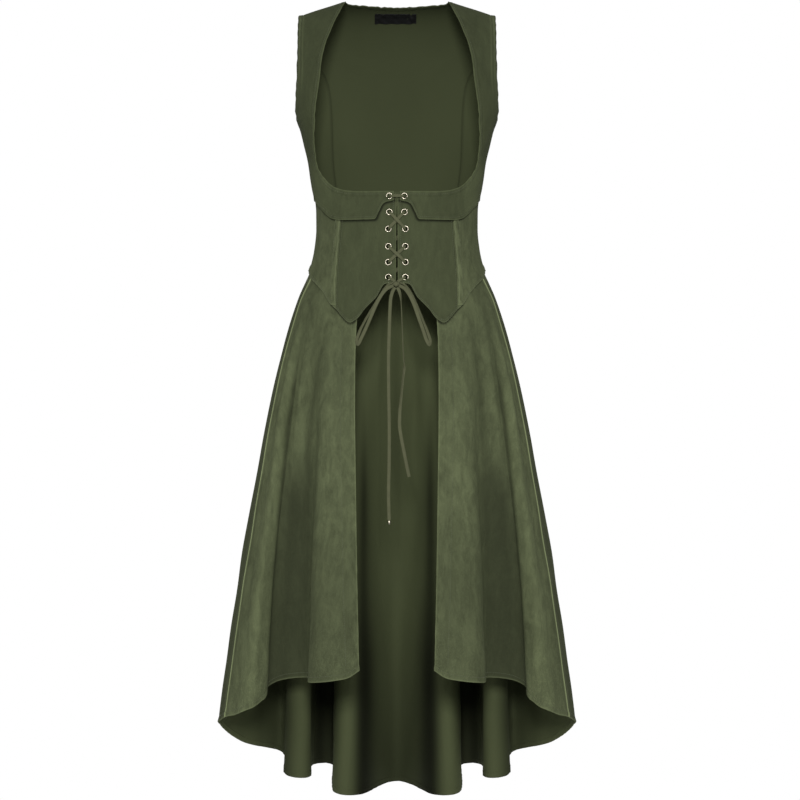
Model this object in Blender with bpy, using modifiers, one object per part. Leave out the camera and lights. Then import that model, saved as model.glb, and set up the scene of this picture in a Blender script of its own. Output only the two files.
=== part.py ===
"""Sleeveless open-front gown with a laced corset front and a high-low skirt, filled out as worn.

Metres, +Z up. The front faces -Y and +X is the wearer's left. The origin lies midway between the
neck ends of the two shoulder seams, where the wearer's shoulders hold the gown up.
Heights on the bodice are levels: the height before the shoulders' slope is taken off.
"""
import math
from collections import namedtuple

import bmesh
import bpy
import numpy as np
from mathutils import Matrix, Vector

# Cloth and its seams
WALL = 0.0015          # thickness of the suede cloth
GAP = 0.0003           # parting between two pieces at a seam, or between two layers
LAYER = WALL + GAP     # step from one layer of cloth to the next one under it
NUDGE = 0.001          # step used to measure the slope of a surface

# Shoulders and armholes
NECK_X = 0.084         # neck end of a shoulder seam
SHOULDER_X = 0.1624    # arm end of a shoulder seam
SHOULDER_SLOPE = 0.32  # fall of the shoulder for each metre outwards
SLOPE_ROUNDING = 0.006
SLOPE_DEPTH = 0.18     # level below which the shoulders' slope has faded out
ARMHOLE_TOP = -0.12    # level down to which the armhole keeps its full width
ARMHOLE_BOTTOM = -0.197
ARMHOLE_FRONT = 0.50   # the armhole's front edge, as a share of the front depth
ARMHOLE_BACK = 0.55

# Back
BACK_NECK = -0.0035    # level of the neckline at the centre back
BACK_HEM = -0.441      # lower edge of the bodice back
BACK_LEVELS = (0.0, -0.002, -0.007, -0.014, -0.021, -0.040, -0.075, -0.083, -0.100, -0.135,
               -0.175, -0.215, -0.255, -0.300, -0.345, -0.392, BACK_HEM)
BACK_SHARES = (0.0, 0.11, 0.222, 0.37, 0.52, 0.68, 0.84, 1.0)
BACK_SIDE_COLUMNS = 8
APEX_ROW = 6           # row of BACK_LEVELS where the side back panel starts
APEX_CUT = 0.1         # share of the first row's height by which its sharp top is cut short

# Yoke flap and corset
FLAP_START = -0.25     # the yoke starts to stand off the corset here
FLAP_END = -0.295      # and stands its full lift off it from here down
FLAP_LIFT = 0.0024     # outside of the flap, out from the corset's outside
CORSET_TOP = -0.325
CORSET_SIDE_TOP = -0.318
SLIT_TOP = 0.0006      # half the slit between the corset's fronts, at its top
SLIT_BOTTOM = 0.0015
CORSET_ROWS = 8
WIDEST_COLUMN = 9.0    # degrees round the body that one column of the corset's side may take

# Bone channels beside the corset's front seams
CHANNEL_TOP = -0.3735
CHANNEL_BOTTOM = -0.5055
CHANNEL_INSET = 0.001
CHANNEL_WIDTH = 0.0075
CHANNEL_WALL = 0.001
CHANNEL_LIFT = 0.0005  # underside of a channel, out from the corset

# Eyelets and lace
BORE = 0.0030          # radius of an eyelet's hole
BARREL = 0.00345
FLANGE = 0.0055
CLOTH_HOLE = 0.0038
EYELET_FLANGE = ((BORE, 0.0008), (0.0042, 0.00115), (FLANGE, 0.0007), (0.0053, GAP))  # radius, height
EYELET_STEPS = 10
WELD = 0.00001         # points of an eyelet nearer than this are one
PUNCH_REACH = 0.003    # how far a punch stands out of the cloth on each side
LACE_RADIUS = 0.0016
LACE_STEP = 0.0096     # length of one straight piece of the bow and the free ends
KNOT_SIZE = (0.0110, 0.0080, 0.0090)
KNOT_AT = (-0.0010, -0.1135, -0.4725)
KNOT_CLEAR = 0.0012    # from the knot to the end of each lace that leaves it
KNOT_SEGMENTS = 12
KNOT_RINGS = 8
LACE_ARCH = 0.0006     # how far the last run to the knot arches up
BARREL_END = 0.0004    # how far an eyelet's barrel stands out behind the cloth
CROSS_OVER = 0.0062    # height of the lace's middle over the cloth's outside, where it crosses
CROSS_UNDER = 0.0024
TOP_BAR = 0.0048
BEHIND_NEAR = 0.0062   # and behind the cloth, from its outside
BEHIND_FAR = 0.0100

# Where the laces leave the knot, as directions from its middle for the wearer's left
LACING_FACE = (0.45, 0.60, 0.70)
LOOP_START_FACE = (0.95, 0.0, 0.35)
LOOP_END_FACE = (0.80, -0.45, -0.45)
END_FACE = (0.40, 0.10, -1.0)

# Neck label
LABEL_WALL = 0.001
LABEL_ROWS = (2, 4)    # rows of BACK_LEVELS between which the label lies
LABEL_COLUMNS = 2      # columns of BACK_SHARES that it takes on each side of the centre

# Skirt
SKIRT_TUCK = 0.008     # how far the skirt runs up inside the corset
SKIRT_DROP = 0.002     # where the skirt starts to stand out, below the corset's edge
SKIRT_INSET = 0.0025   # outside of the skirt's tuck, in from the bodice's outside
HEM_HALF_WIDTH = 0.2955
HEM_FRONT = 0.185
HEM_BACK = 0.215
HEM_SQUARENESS = 2.1
FOLD_GROWTH = 1.35     # the folds deepen as this power of the way down
FRONT_FULLNESS = 0.5   # how much of the hip fullness the front shows
SKIRT_STEPS = 3        # columns of the cloth between two folds of the table
SKIRT_FALLS = (0.0, 0.035, 0.09, 0.17, 0.27, 0.39, 0.53, 0.68, 0.84, 1.0)

# The bodice, level by level: half width, front and back depth, and how square the section is
Section = namedtuple("Section", "level half_width front back squareness")
BODICE = (
    Section(0.000, 0.1650, 0.0000, 0.000, 4.0),
    Section(-0.002, 0.1650, 0.0130, 0.024, 4.0),
    Section(-0.006, 0.1650, 0.0225, 0.041, 4.0),
    Section(-0.016, 0.1650, 0.0370, 0.060, 4.0),
    Section(-0.040, 0.1650, 0.0580, 0.080, 4.0),
    Section(-0.080, 0.1650, 0.0800, 0.095, 4.0),
    Section(-0.140, 0.1660, 0.1000, 0.103, 3.8),
    Section(-0.178, 0.1665, 0.1090, 0.106, 3.4),
    Section(-0.197, 0.1650, 0.1120, 0.106, 3.1),
    Section(-0.211, 0.1600, 0.1130, 0.106, 2.95),
    Section(-0.244, 0.1520, 0.1130, 0.104, 2.7),
    Section(-0.277, 0.1435, 0.1105, 0.100, 2.55),
    Section(-0.310, 0.1380, 0.1070, 0.094, 2.45),
    Section(-0.335, 0.1335, 0.1050, 0.089, 2.4),
    Section(-0.376, 0.1328, 0.1050, 0.085, 2.35),
    Section(-0.409, 0.1360, 0.1050, 0.083, 2.3),
    Section(-0.442, 0.1435, 0.1050, 0.082, 2.3),
    Section(-0.470, 0.1540, 0.1055, 0.083, 2.3),
    Section(-0.500, 0.1660, 0.1090, 0.087, 2.3),
    Section(-0.545, 0.1790, 0.1145, 0.092, 2.3),
)

# The neckline's edge down the strap: distance from the centre at each level
NECKLINE = ((0.000, 0.0840), (-0.046, 0.1040), (-0.092, 0.1190), (-0.144, 0.1245), (-0.193, 0.1310))
STRAP_LEVELS = (0.0, -0.002, -0.0075, -0.018, -0.040, -0.068, -0.100, -0.133, -0.165)

# The yoke below the strap, from the neckline's edge to its outer edge; SIDE is the side seam
Station = namedtuple("Station", "inner_x inner_level outer_x outer_level")
SIDE = None
YOKE = (
    Station(0.1310, -0.1930, SIDE, -0.1970),
    Station(0.1335, -0.2300, SIDE, -0.2360),
    Station(0.1325, -0.2550, SIDE, -0.2700),
    Station(0.1285, -0.2750, SIDE, -0.3000),
    Station(0.1215, -0.2900, SIDE, -0.3235),
    Station(0.1130, -0.3020, 0.1290, -0.3360),
    Station(0.1055, -0.3100, 0.1180, -0.3500),
    Station(0.0950, -0.3165, 0.1027, -0.3650),
    Station(0.0830, -0.3205, 0.0895, -0.3685),
    Station(0.0630, -0.3230, 0.0630, -0.3690),
    Station(0.0420, -0.3235, 0.0361, -0.3690),
    Station(0.0310, -0.3235, 0.0285, -0.3565),
    Station(0.0200, -0.3235, 0.0205, -0.3430),
    Station(0.0045, -0.3235, 0.0045, -0.3385),
)
YOKE_COLUMNS = 5
YOKE_STEPS = 2         # rows of the cloth for each station of the table

# The corset: the front seam's distance from the centre, and the pointed lower edge
CORSET_SEAM = ((-0.325, 0.0885), (-0.368, 0.0898), (-0.425, 0.0938), (-0.466, 0.0968), (-0.5125, 0.0965))
EdgePoint = namedtuple("EdgePoint", "x level")
CORSET_FRONT_EDGE = (
    EdgePoint(SLIT_BOTTOM, -0.4700),
    EdgePoint(0.0190, -0.4720),
    EdgePoint(0.0325, -0.4930),
    EdgePoint(0.0490, -0.5100),
    EdgePoint(0.0650, -0.5290),
    EdgePoint(0.0750, -0.5340),
    EdgePoint(0.0880, -0.5230),
    EdgePoint(0.0965, -0.5125),
)
CORSET_SIDE_EDGE = (
    EdgePoint(0.0965, -0.5125),
    EdgePoint(0.1040, -0.5045),
    EdgePoint(0.1142, -0.4840),
    EdgePoint(0.1250, -0.4710),
    EdgePoint(0.1356, -0.4610),
    EdgePoint(SIDE, BACK_HEM),
)

# The back's curved seam, from the armhole to the waist: distance from the centre at each level
BACK_SEAM = ((-0.075, 0.1620), (-0.083, 0.1400), (-0.100, 0.1250), (-0.135, 0.1150), (-0.175, 0.1120),
             (-0.250, 0.1100), (-0.330, 0.1000), (-0.400, 0.0920), (-0.445, 0.0920))

# Eyelet pairs from the top: level and distance from the centre
EyeletPair = namedtuple("EyeletPair", "level x")
EYELETS = (
    EyeletPair(-0.3315, 0.0120),
    EyeletPair(-0.3570, 0.0120),
    EyeletPair(-0.3840, 0.0136),
    EyeletPair(-0.4117, 0.0136),
    EyeletPair(-0.4370, 0.0136),
    EyeletPair(-0.4610, 0.0136),
)

# The skirt's folds from the front edge to the centre back: the angle of each at the waist and on
# the smooth hem, and where the hem really lies there
Fold = namedtuple("Fold", "waist hem x y z")
FOLDS = (
    Fold(18.4, 10.5, 0.0585, -0.182, -1.078),
    Fold(20.3, 14.7, 0.0800, -0.190, -1.090),
    Fold(30.4, 26.3, 0.1330, -0.168, -1.099),
    Fold(39.3, 28.7, 0.1430, -0.078, -1.104),
    Fold(48.9, 39.5, 0.1910, -0.056, -1.112),
    Fold(55.2, 45.4, 0.2140, -0.085, -1.138),
    Fold(60.6, 56.3, 0.2480, -0.098, -1.156),
    Fold(69.6, 69.7, 0.2780, -0.060, -1.170),
    Fold(87.0, 90.0, 0.2955, 0.005, -1.190),
    Fold(101.0, 118.2, 0.2620, 0.130, -1.245),
    Fold(109.1, 137.0, 0.2020, 0.195, -1.272),
    Fold(122.2, 142.0, 0.1880, 0.070, -1.287),
    Fold(125.2, 150.2, 0.1500, 0.068, -1.292),
    Fold(143.3, 152.2, 0.1480, 0.238, -1.303),
    Fold(146.4, 159.7, 0.1100, 0.245, -1.308),
    Fold(164.1, 160.7, 0.1050, 0.078, -1.318),
    Fold(167.5, 168.8, 0.0620, 0.068, -1.321),
    Fold(180.0, 180.0, 0.0000, 0.185, -1.322),
)
FRONT_EDGE_FOLD = 0
SIDE_SEAM_FOLD = 7
BACK_SEAM_FOLD = 13
CENTRE_FOLD = 17

# How far the skirt stands out from the straight line between waist and hem
FULLNESS = ((0.0, 0.0), (0.063, 0.0125), (0.17, 0.020), (0.29, 0.0228), (0.5, 0.019),
            (0.73, 0.0127), (1.0, 0.0))

# Colours: base colour, roughness and metallic
FINISHES = {
    "suede": ((0.085, 0.105, 0.048, 1.0), 0.9, 0.0),
    "lace": ((0.095, 0.110, 0.055, 1.0), 0.85, 0.0),
    "eyelet_metal": ((0.62, 0.58, 0.46, 1.0), 0.35, 1.0),
    "label": ((0.006, 0.006, 0.006, 1.0), 0.7, 0.0),
}


def smooth_curve(rows, rounded=False):
    """A function through the rows' (place, value) pairs. It never overshoots them, or where it is
    rounded it swings out past a turn as a fold of cloth does."""
    place, value = np.array(sorted(rows), float).T
    step = np.diff(place)
    rise = np.diff(value) / step
    slope = np.concatenate((rise[:1], np.zeros(len(rise) - 1), rise[-1:]))
    for row in range(1, len(rise)):
        before, after = rise[row - 1], rise[row]
        if rounded:
            slope[row] = (before + after) / 2
        elif before * after > 0:
            share_before = 2 * step[row] + step[row - 1]
            share_after = step[row] + 2 * step[row - 1]
            slope[row] = (share_before + share_after) / (share_before / before + share_after / after)

    def curve(at):
        at = np.clip(at, place[0], place[-1])
        row = np.clip(np.searchsorted(place, at, side="right") - 1, 0, len(step) - 1)
        part = (at - place[row]) / step[row]
        start = (1 + 2 * part) * (1 - part) ** 2 * value[row]
        end = part ** 2 * (3 - 2 * part) * value[row + 1]
        bend = part * (1 - part) * ((1 - part) * slope[row] - part * slope[row + 1])
        return start + end + bend * step[row]

    return curve


def signed_power(value, power):
    return np.sign(value) * np.abs(value) ** power


def root_of(level):
    """Square root of the depth below the shoulders, in which the bodice's depths are even curves."""
    return np.sqrt(np.maximum(-np.asarray(level, float), 0.0))


def bodice_curve(column):
    return smooth_curve([(float(root_of(row.level)), getattr(row, column)) for row in BODICE])


half_width_at, front_at, back_at, squareness_at = (
    bodice_curve(column) for column in ("half_width", "front", "back", "squareness"))
neckline_at = smooth_curve(NECKLINE)
corset_seam_at = smooth_curve(CORSET_SEAM)
back_seam_at = smooth_curve(BACK_SEAM)
fullness_at = smooth_curve(FULLNESS)


def bodice(angle, root):
    """Points on the outside of the bodice. The angle runs in degrees from the centre front, round
    by the wearer's left; the root is root_of the level."""
    angle, root = np.broadcast_arrays(np.radians(angle), np.maximum(root, 0.0))
    power = 2.0 / squareness_at(root)
    x = half_width_at(root) * signed_power(np.sin(angle), power)
    across = signed_power(np.cos(angle), power)
    y = -across * np.where(across > 0, front_at(root), back_at(root))
    level = -root ** 2
    outwards = np.abs(x) - NECK_X
    fall = SHOULDER_SLOPE * (outwards + np.sqrt(outwards ** 2 + SLOPE_ROUNDING ** 2)) / 2
    fade = np.clip(1 + level / SLOPE_DEPTH, 0, 1)
    z = level - fall * fade ** 2 * (3 - 2 * fade)
    return np.stack((x, y, z), axis=-1)


def angle_at(x, level):
    """Angle on the front half where the bodice is x from the centre; SIDE is the side seam."""
    if x is SIDE:
        return 90.0
    root = root_of(level)
    share = np.clip(np.asarray(x, float) / half_width_at(root), 0, 1)
    return np.degrees(np.arcsin(share ** (squareness_at(root) / 2)))


def armhole_angle(level, share):
    """Angle of the armhole's edge from the centre, where the edge keeps a share of the depth."""
    below = np.clip((ARMHOLE_TOP - np.asarray(level, float)) / (ARMHOLE_TOP - ARMHOLE_BOTTOM), 0, 1)
    across = share * np.sqrt(1 - below ** 2)
    return np.degrees(np.arccos(across ** (squareness_at(root_of(level)) / 2)))


def lifted(surface, across, down, lift):
    """Points of a surface moved out along its normal; a negative lift moves them in."""
    along = surface(across + NUDGE, down) - surface(across - NUDGE, down)
    fall = surface(across, down + NUDGE) - surface(across, down - NUDGE)
    normal = np.cross(fall, along)
    normal /= np.linalg.norm(normal, axis=-1, keepdims=True)
    return surface(across, down) + np.asarray(lift)[..., None] * normal


def flap_lift(level):
    """The yoke's stand-off from the bodice's surface, full where it laps over the corset."""
    part = np.clip((FLAP_START - level) / (FLAP_START - FLAP_END), 0, 1)
    return FLAP_LIFT * part ** 2 * (3 - 2 * part)


def mixed(first, last, shares):
    """Rows from the values in first to the values in last, one column for each share."""
    first, last = (np.asarray(values, float)[:, None] for values in (first, last))
    return first + (last - first) * np.asarray(shares)[None, :]


def part_seams(grid, seams):
    """Move the named edges of a grid of points in by half a gap."""
    for name, edge, neighbour in (("first", np.s_[:, 0], np.s_[:, 1]), ("last", np.s_[:, -1], np.s_[:, -2]),
                                  ("top", np.s_[0], np.s_[1])):
        if name in seams:
            inwards = grid[neighbour] - grid[edge]
            grid[edge] += inwards / np.linalg.norm(inwards, axis=-1, keepdims=True) * GAP / 2


def wall_mesh(name, outer, inner):
    """One closed wall of cloth between two grids of points. Both sides of a seam share the surface's
    own normals this way, which a Solidify on each piece alone would tilt there."""
    rows, columns = outer.shape[:2]
    bm = bmesh.new()
    faces = [[[bm.verts.new(point) for point in row] for row in grid] for grid in (outer, inner)]
    for skin in faces:
        for i in range(rows - 1):
            for j in range(columns - 1):
                bm.faces.new((skin[i][j], skin[i + 1][j], skin[i + 1][j + 1], skin[i][j + 1]))
    front, back = faces
    rim = [(i, 0) for i in range(rows)] + [(rows - 1, j) for j in range(1, columns)]
    rim += [(i, columns - 1) for i in range(rows - 2, -1, -1)] + [(0, j) for j in range(columns - 2, 0, -1)]
    for (i, j), (k, l) in zip(rim, rim[1:] + rim[:1]):
        bm.faces.new((front[i][j], front[k][l], back[k][l], back[i][j]))
    bmesh.ops.recalc_face_normals(bm, faces=bm.faces)
    mesh = bpy.data.meshes.new(name)
    bm.to_mesh(mesh)
    bm.free()
    return mesh


def smooth_shaded(obj):
    obj.data.shade_smooth()
    obj.data.set_sharp_from_angle(angle=math.radians(40))
    return obj


def cloth(name, surface, across, down, side=1, lift=0.0, wall=WALL, seams=(), finish="suede"):
    """A piece of cloth on a surface; side -1 gives the mirrored piece for the wearer's right."""
    outer = lifted(surface, across, down, lift)
    inner = lifted(surface, across, down, np.asarray(lift) - wall)
    return cloth_between(name, outer, inner, side, seams, finish)


def cloth_between(name, outer, inner, side=1, seams=(), finish="suede"):
    """A piece of cloth from the points of its outside and its inside."""
    for grid in (outer, inner):
        part_seams(grid, seams)
        grid[..., 0] *= side
    return smooth_shaded(placed(name, wall_mesh(name, outer, inner), finish))


def placed(name, data, finish):
    """An object of the gown with its finish."""
    obj = bpy.data.objects.new(name, data)
    bpy.data.collections["medieval_gown"].objects.link(obj)
    material = bpy.data.materials.get(finish)
    if material is None:
        material = bpy.data.materials.new(finish)
        material.use_nodes = True
        shader = material.node_tree.nodes["Principled BSDF"]
        colour, roughness, metallic = FINISHES[finish]
        shader.inputs["Base Color"].default_value = colour
        shader.inputs["Roughness"].default_value = roughness
        shader.inputs["Metallic"].default_value = metallic
        material.diffuse_color = colour
    data.materials.append(material)
    return obj


def back_edges(levels):
    """Angles of the back's seam line, from the armhole above its start, for each level."""
    levels = np.asarray(levels, float)
    armhole = armhole_angle(levels, ARMHOLE_BACK)
    seam = angle_at(back_seam_at(levels), levels)
    return 180 - np.where(levels > BACK_SEAM[0][0], armhole, seam)


def back_grid():
    """Angles and levels of the centre back, whose top row follows the neckline."""
    levels = np.array(BACK_LEVELS)
    shares = np.array([-share for share in BACK_SHARES[:0:-1]] + list(BACK_SHARES))
    neck = BACK_NECK * np.clip(1 - np.abs(shares) * SHOULDER_X / NECK_X, 0, 1) ** 0.5
    level = levels[:, None] + neck[None, :] * (1 - levels[:, None] / BACK_HEM)
    edge = np.radians(180 - back_edges(levels))
    reach = np.sin(edge) ** (2 / squareness_at(root_of(levels)))
    across = reach[:, None] * np.abs(shares)[None, :]
    turn = np.degrees(np.arcsin(np.clip(across, 0, 1) ** (squareness_at(root_of(level)) / 2)))
    return 180 + turn * np.sign(shares)[None, :], level


def make_back_centre():
    """The centre back, from the shoulder seams and the neckline down to the waist."""
    across, level = back_grid()
    cloth("back_centre", bodice, across, root_of(level), seams=("first", "last", "top"))


def make_back_side(side, hand):
    """The side back, between the back's curved seam, the armhole and the side seam."""
    levels = np.array(BACK_LEVELS[APEX_ROW + 1:])
    armhole = 180 - armhole_angle(levels, ARMHOLE_BACK)
    side_edge = np.where(levels > ARMHOLE_BOTTOM, armhole, 90.0)
    seam = back_edges(levels)
    shares = np.linspace(0, 1, BACK_SIDE_COLUMNS)
    across = mixed(side_edge, seam, shares)
    down = mixed(root_of(levels), root_of(levels), shares)
    apex_level = BACK_LEVELS[APEX_ROW]
    apex = np.array((back_edges([apex_level])[0], root_of(apex_level)))
    first = np.stack((across[0], down[0]))
    start = apex[:, None] + APEX_CUT * (first - apex[:, None])
    across = np.vstack((start[0], across))
    down = np.vstack((start[1], down))
    cloth(f"back_side_{hand}", bodice, across, down, side, seams=("first", "last"))


def make_yoke(side, hand):
    """The strap and the turned flap under the bust, in one piece from shoulder to centre front."""
    strap = np.array(STRAP_LEVELS)
    inner = [(angle_at(neckline_at(level), level), level) for level in strap]
    outer = [(armhole_angle(level, ARMHOLE_FRONT), level) for level in strap]
    inner += [(angle_at(row.inner_x, row.inner_level), row.inner_level) for row in YOKE]
    outer += [(angle_at(row.outer_x, row.outer_level), row.outer_level) for row in YOKE]
    rows = len(inner)
    steps = YOKE_STEPS * (rows - 1 - len(strap))
    stations = np.concatenate((np.arange(len(strap)), np.linspace(len(strap), rows - 1, steps + 1)))
    inner, outer = np.array(inner, float).T, np.array(outer, float).T
    inner = np.stack([smooth_curve(list(enumerate(values)))(stations) for values in inner], axis=1)
    outer = np.stack([np.interp(stations, range(rows), values) for values in outer], axis=1)
    shares = np.linspace(0, 1, YOKE_COLUMNS)
    across = mixed(inner[:, 0], outer[:, 0], shares)
    level = mixed(inner[:, 1], outer[:, 1], shares)
    yoke = cloth(f"yoke_{hand}", bodice, across, root_of(level), side, flap_lift(level),
                 seams=("last", "top"))
    pierce(yoke, side, EYELETS[:1])


def corset_front_grid():
    """Angles and levels of the corset's front, from the slit to the front seam."""
    shares = np.linspace(0, 1, CORSET_ROWS)
    columns = []
    for point in CORSET_FRONT_EDGE:
        level = CORSET_TOP + (point.level - CORSET_TOP) * shares
        slit = SLIT_TOP + (SLIT_BOTTOM - SLIT_TOP) * shares
        reach = (point.x - SLIT_BOTTOM) / (corset_seam_at(point.level) - SLIT_BOTTOM)
        x = slit + reach * (corset_seam_at(level) - slit)
        columns.append((angle_at(x, level), level))
    return np.array(columns).transpose(1, 2, 0)


def make_corset_front(side, hand):
    across, level = corset_front_grid()
    front = cloth(f"corset_front_{hand}", bodice, across, root_of(level), side, seams=("last",))
    pierce(front, side, EYELETS)


def close_steps(edge):
    """An edge's (angle, level) points with more between them where they lie far apart."""
    points = [edge[0]]
    for start, end in zip(edge, edge[1:]):
        steps = math.ceil(abs(end[0] - start[0]) / WIDEST_COLUMN)
        points += [start + (end - start) * step / steps for step in range(1, steps + 1)]
    return points


def make_corset_side(side, hand):
    """The corset's side, from its front seam to the side seam, tucked up under the yoke."""
    shares = np.linspace(0, 1, CORSET_ROWS)
    edge = [np.array((float(angle_at(point.x, point.level)), point.level)) for point in CORSET_SIDE_EDGE]
    seam_angle = edge[0][0]
    columns = []
    for angle, bottom in close_steps(edge):
        reach = (angle - seam_angle) / (90 - seam_angle)
        top = CORSET_TOP + (CORSET_SIDE_TOP - CORSET_TOP) * reach
        level = top + (bottom - top) * shares
        start = angle_at(corset_seam_at(level), level)
        columns.append((start + reach * (90 - start), level))
    across, level = np.array(columns).transpose(1, 2, 0)
    cloth(f"corset_side_{hand}", bodice, across, root_of(level), side, seams=("first", "last"))


def make_bone_channel(side, hand):
    """A raised strip that holds a bone, sewn beside the corset's front seam."""
    level = np.linspace(CHANNEL_TOP, CHANNEL_BOTTOM, CORSET_ROWS)
    start = corset_seam_at(level) + CHANNEL_INSET
    across = np.stack([angle_at(start + share * CHANNEL_WIDTH, level) for share in (0, 0.5, 1)], axis=1)
    down = np.repeat(root_of(level)[:, None], 3, axis=1)
    cloth(f"bone_channel_{hand}", bodice, across, down, side, CHANNEL_LIFT + CHANNEL_WALL, CHANNEL_WALL)


def cloth_frame(x, level, lift):
    """Place and direction of the cloth's outside at a point of the corset front."""
    spot = np.array(angle_at(x, level)), root_of(level)
    foot = Vector(lifted(bodice, *spot, lift))
    outwards = (Vector(lifted(bodice, *spot, lift + NUDGE)) - foot).normalized()
    return foot, outwards


def eyelet_frames(side):
    """Foot, outward direction and depth of cloth under each eyelet on one side."""
    frames = []
    for row, pair in enumerate(EYELETS):
        lift = FLAP_LIFT if row == 0 else 0.0
        foot, outwards = cloth_frame(pair.x, pair.level, lift)
        foot.x *= side
        outwards.x *= side
        frames.append((foot, outwards, WALL + lift))
    return frames


def pierce(obj, side, pairs):
    """Punch the eyelets' holes through a piece of cloth."""
    for foot, outwards, depth in eyelet_frames(side)[:len(pairs)]:
        bm = bmesh.new()
        bmesh.ops.create_cone(bm, cap_ends=True, segments=EYELET_STEPS, radius1=CLOTH_HOLE,
                              radius2=CLOTH_HOLE, depth=2 * (PUNCH_REACH + depth))
        mesh = bpy.data.meshes.new("punch")
        bm.to_mesh(mesh)
        bm.free()
        punch = bpy.data.objects.new("punch", mesh)
        bpy.data.collections["cutters"].objects.link(punch)
        punch.matrix_world = Matrix.Translation(foot) @ outwards.to_track_quat("Z", "Y").to_matrix().to_4x4()
        punch.hide_render = True
        punch.display_type = "WIRE"
        cut = obj.modifiers.new("punch", "BOOLEAN")
        cut.operation = "DIFFERENCE"
        cut.object = punch


def make_eyelets(side, hand):
    """Turned metal eyelets, each with a rolled flange outside and a barrel through the cloth."""
    for number, (foot, outwards, depth) in enumerate(eyelet_frames(side), start=1):
        back = -depth - BARREL_END
        profile = ((BORE, back), *EYELET_FLANGE, (BARREL, GAP), (BARREL, back))
        mesh = bpy.data.meshes.new("eyelet")
        ring = range(len(profile))
        mesh.from_pydata([(radius, 0.0, height) for radius, height in profile],
                         [(i, (i + 1) % len(profile)) for i in ring], [])
        eyelet = placed(f"eyelet_{hand}_{number}", mesh, "eyelet_metal")
        eyelet.matrix_world = Matrix.Translation(foot) @ outwards.to_track_quat("Z", "Y").to_matrix().to_4x4()
        turn = eyelet.modifiers.new("turn", "SCREW")
        turn.steps = turn.render_steps = EYELET_STEPS
        turn.use_merge_vertices = True
        turn.merge_threshold = WELD


def smooth_route(points, spacing):
    """Evenly spaced points along a smooth curve through a route's points."""
    points = np.array(points, float)
    length = np.concatenate(((0,), np.cumsum(np.linalg.norm(np.diff(points, axis=0), axis=1))))
    curves = [smooth_curve(list(zip(length, points[:, axis]))) for axis in range(3)]
    steps = max(2, round(length[-1] / spacing))
    at = np.linspace(0, length[-1], steps + 1)
    return np.stack([curve(at) for curve in curves], axis=1)


def tube(name, points, finish="lace", radius=LACE_RADIUS, sides=2):
    """A round cord along a list of points, with closed ends; sides is its bevel resolution."""
    curve = bpy.data.curves.new(name, "CURVE")
    curve.dimensions = "3D"
    curve.bevel_depth = radius
    curve.bevel_resolution = sides
    curve.use_fill_caps = True
    spline = curve.splines.new("POLY")
    spline.points.add(len(points) - 1)
    for spot, point in zip(spline.points, points):
        spot.co = (*point, 1.0)
    return placed(name, curve, finish)


# A lace's way from one eyelet's bore to the next: distance from the bore's axis, and height off
# the flange (front) or off the barrel's end (behind), both in metres
FRONT_RISE = ((0.0000, -0.0010), (0.0009, 0.0016), (0.0027, 0.0029), (0.0052, 0.0033))
BACK_RISE = ((0.0009, 0.0012), (0.0027, 0.0023), (0.0052, 0.0027))


def rise(eyelet, heading, behind=False):
    """The lace's first points out of an eyelet's bore, on its way along a heading."""
    foot, _, depth = eyelet
    sign = 1 if behind else -1
    base = foot.y + depth + BARREL_END if behind else foot.y
    return [Vector((foot.x, base + sign * height, foot.z)) + heading * away
            for away, height in (BACK_RISE if behind else FRONT_RISE)]


def strand(start, end, crest, behind=False):
    """The lace between two eyelets, over the cloth or behind it, with its height at mid-way."""
    heading = ((end[0] - start[0]) * Vector((1, 0, 1))).normalized()
    middle = (start[0] + end[0]) / 2
    middle.y += crest if behind else -crest
    return rise(start, heading, behind) + [middle] + rise(end, -heading, behind)[::-1]


def knot_face(direction, side=1):
    """A place just off the knot's surface in a direction from its middle."""
    direction = Vector((direction[0] * side, *direction[1:]))
    reach = 1 / math.sqrt(sum((2 * part / size) ** 2 for part, size in zip(direction, KNOT_SIZE)))
    return Vector(KNOT_AT) + direction * reach + direction.normalized() * KNOT_CLEAR


def to_knot(eyelet, side):
    """The lace from the lowest eyelet down to the back of the knot."""
    last = knot_face(LACING_FACE, side)
    heading = ((last - eyelet[0]) * Vector((1, 0, 1))).normalized()
    bore = rise(eyelet, heading)
    return bore + [(bore[-1] + last) / 2 + Vector((0, 0, LACE_ARCH)), last]


def make_lacing():
    """The crossed lace, in one run from the knot up one side, over the top pair and down again."""
    left, right = eyelet_frames(1), eyelet_frames(-1)
    route = to_knot(right[5], -1)[::-1]
    route += strand(right[5], left[4], BEHIND_NEAR, behind=True)
    route += strand(left[4], right[3], CROSS_OVER)
    route += strand(right[3], left[2], BEHIND_NEAR, behind=True)
    route += strand(left[2], right[1], CROSS_OVER)
    route += strand(right[1], left[0], BEHIND_NEAR, behind=True)
    route += strand(left[0], right[0], TOP_BAR)
    route += strand(right[0], left[1], BEHIND_FAR, behind=True)
    route += strand(left[1], right[2], CROSS_UNDER)
    route += strand(right[2], left[3], BEHIND_FAR, behind=True)
    route += strand(left[3], right[4], CROSS_UNDER)
    route += strand(right[4], left[5], BEHIND_FAR, behind=True)
    route += to_knot(left[5], 1)
    tube("lace_lacing", route, sides=1)


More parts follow.
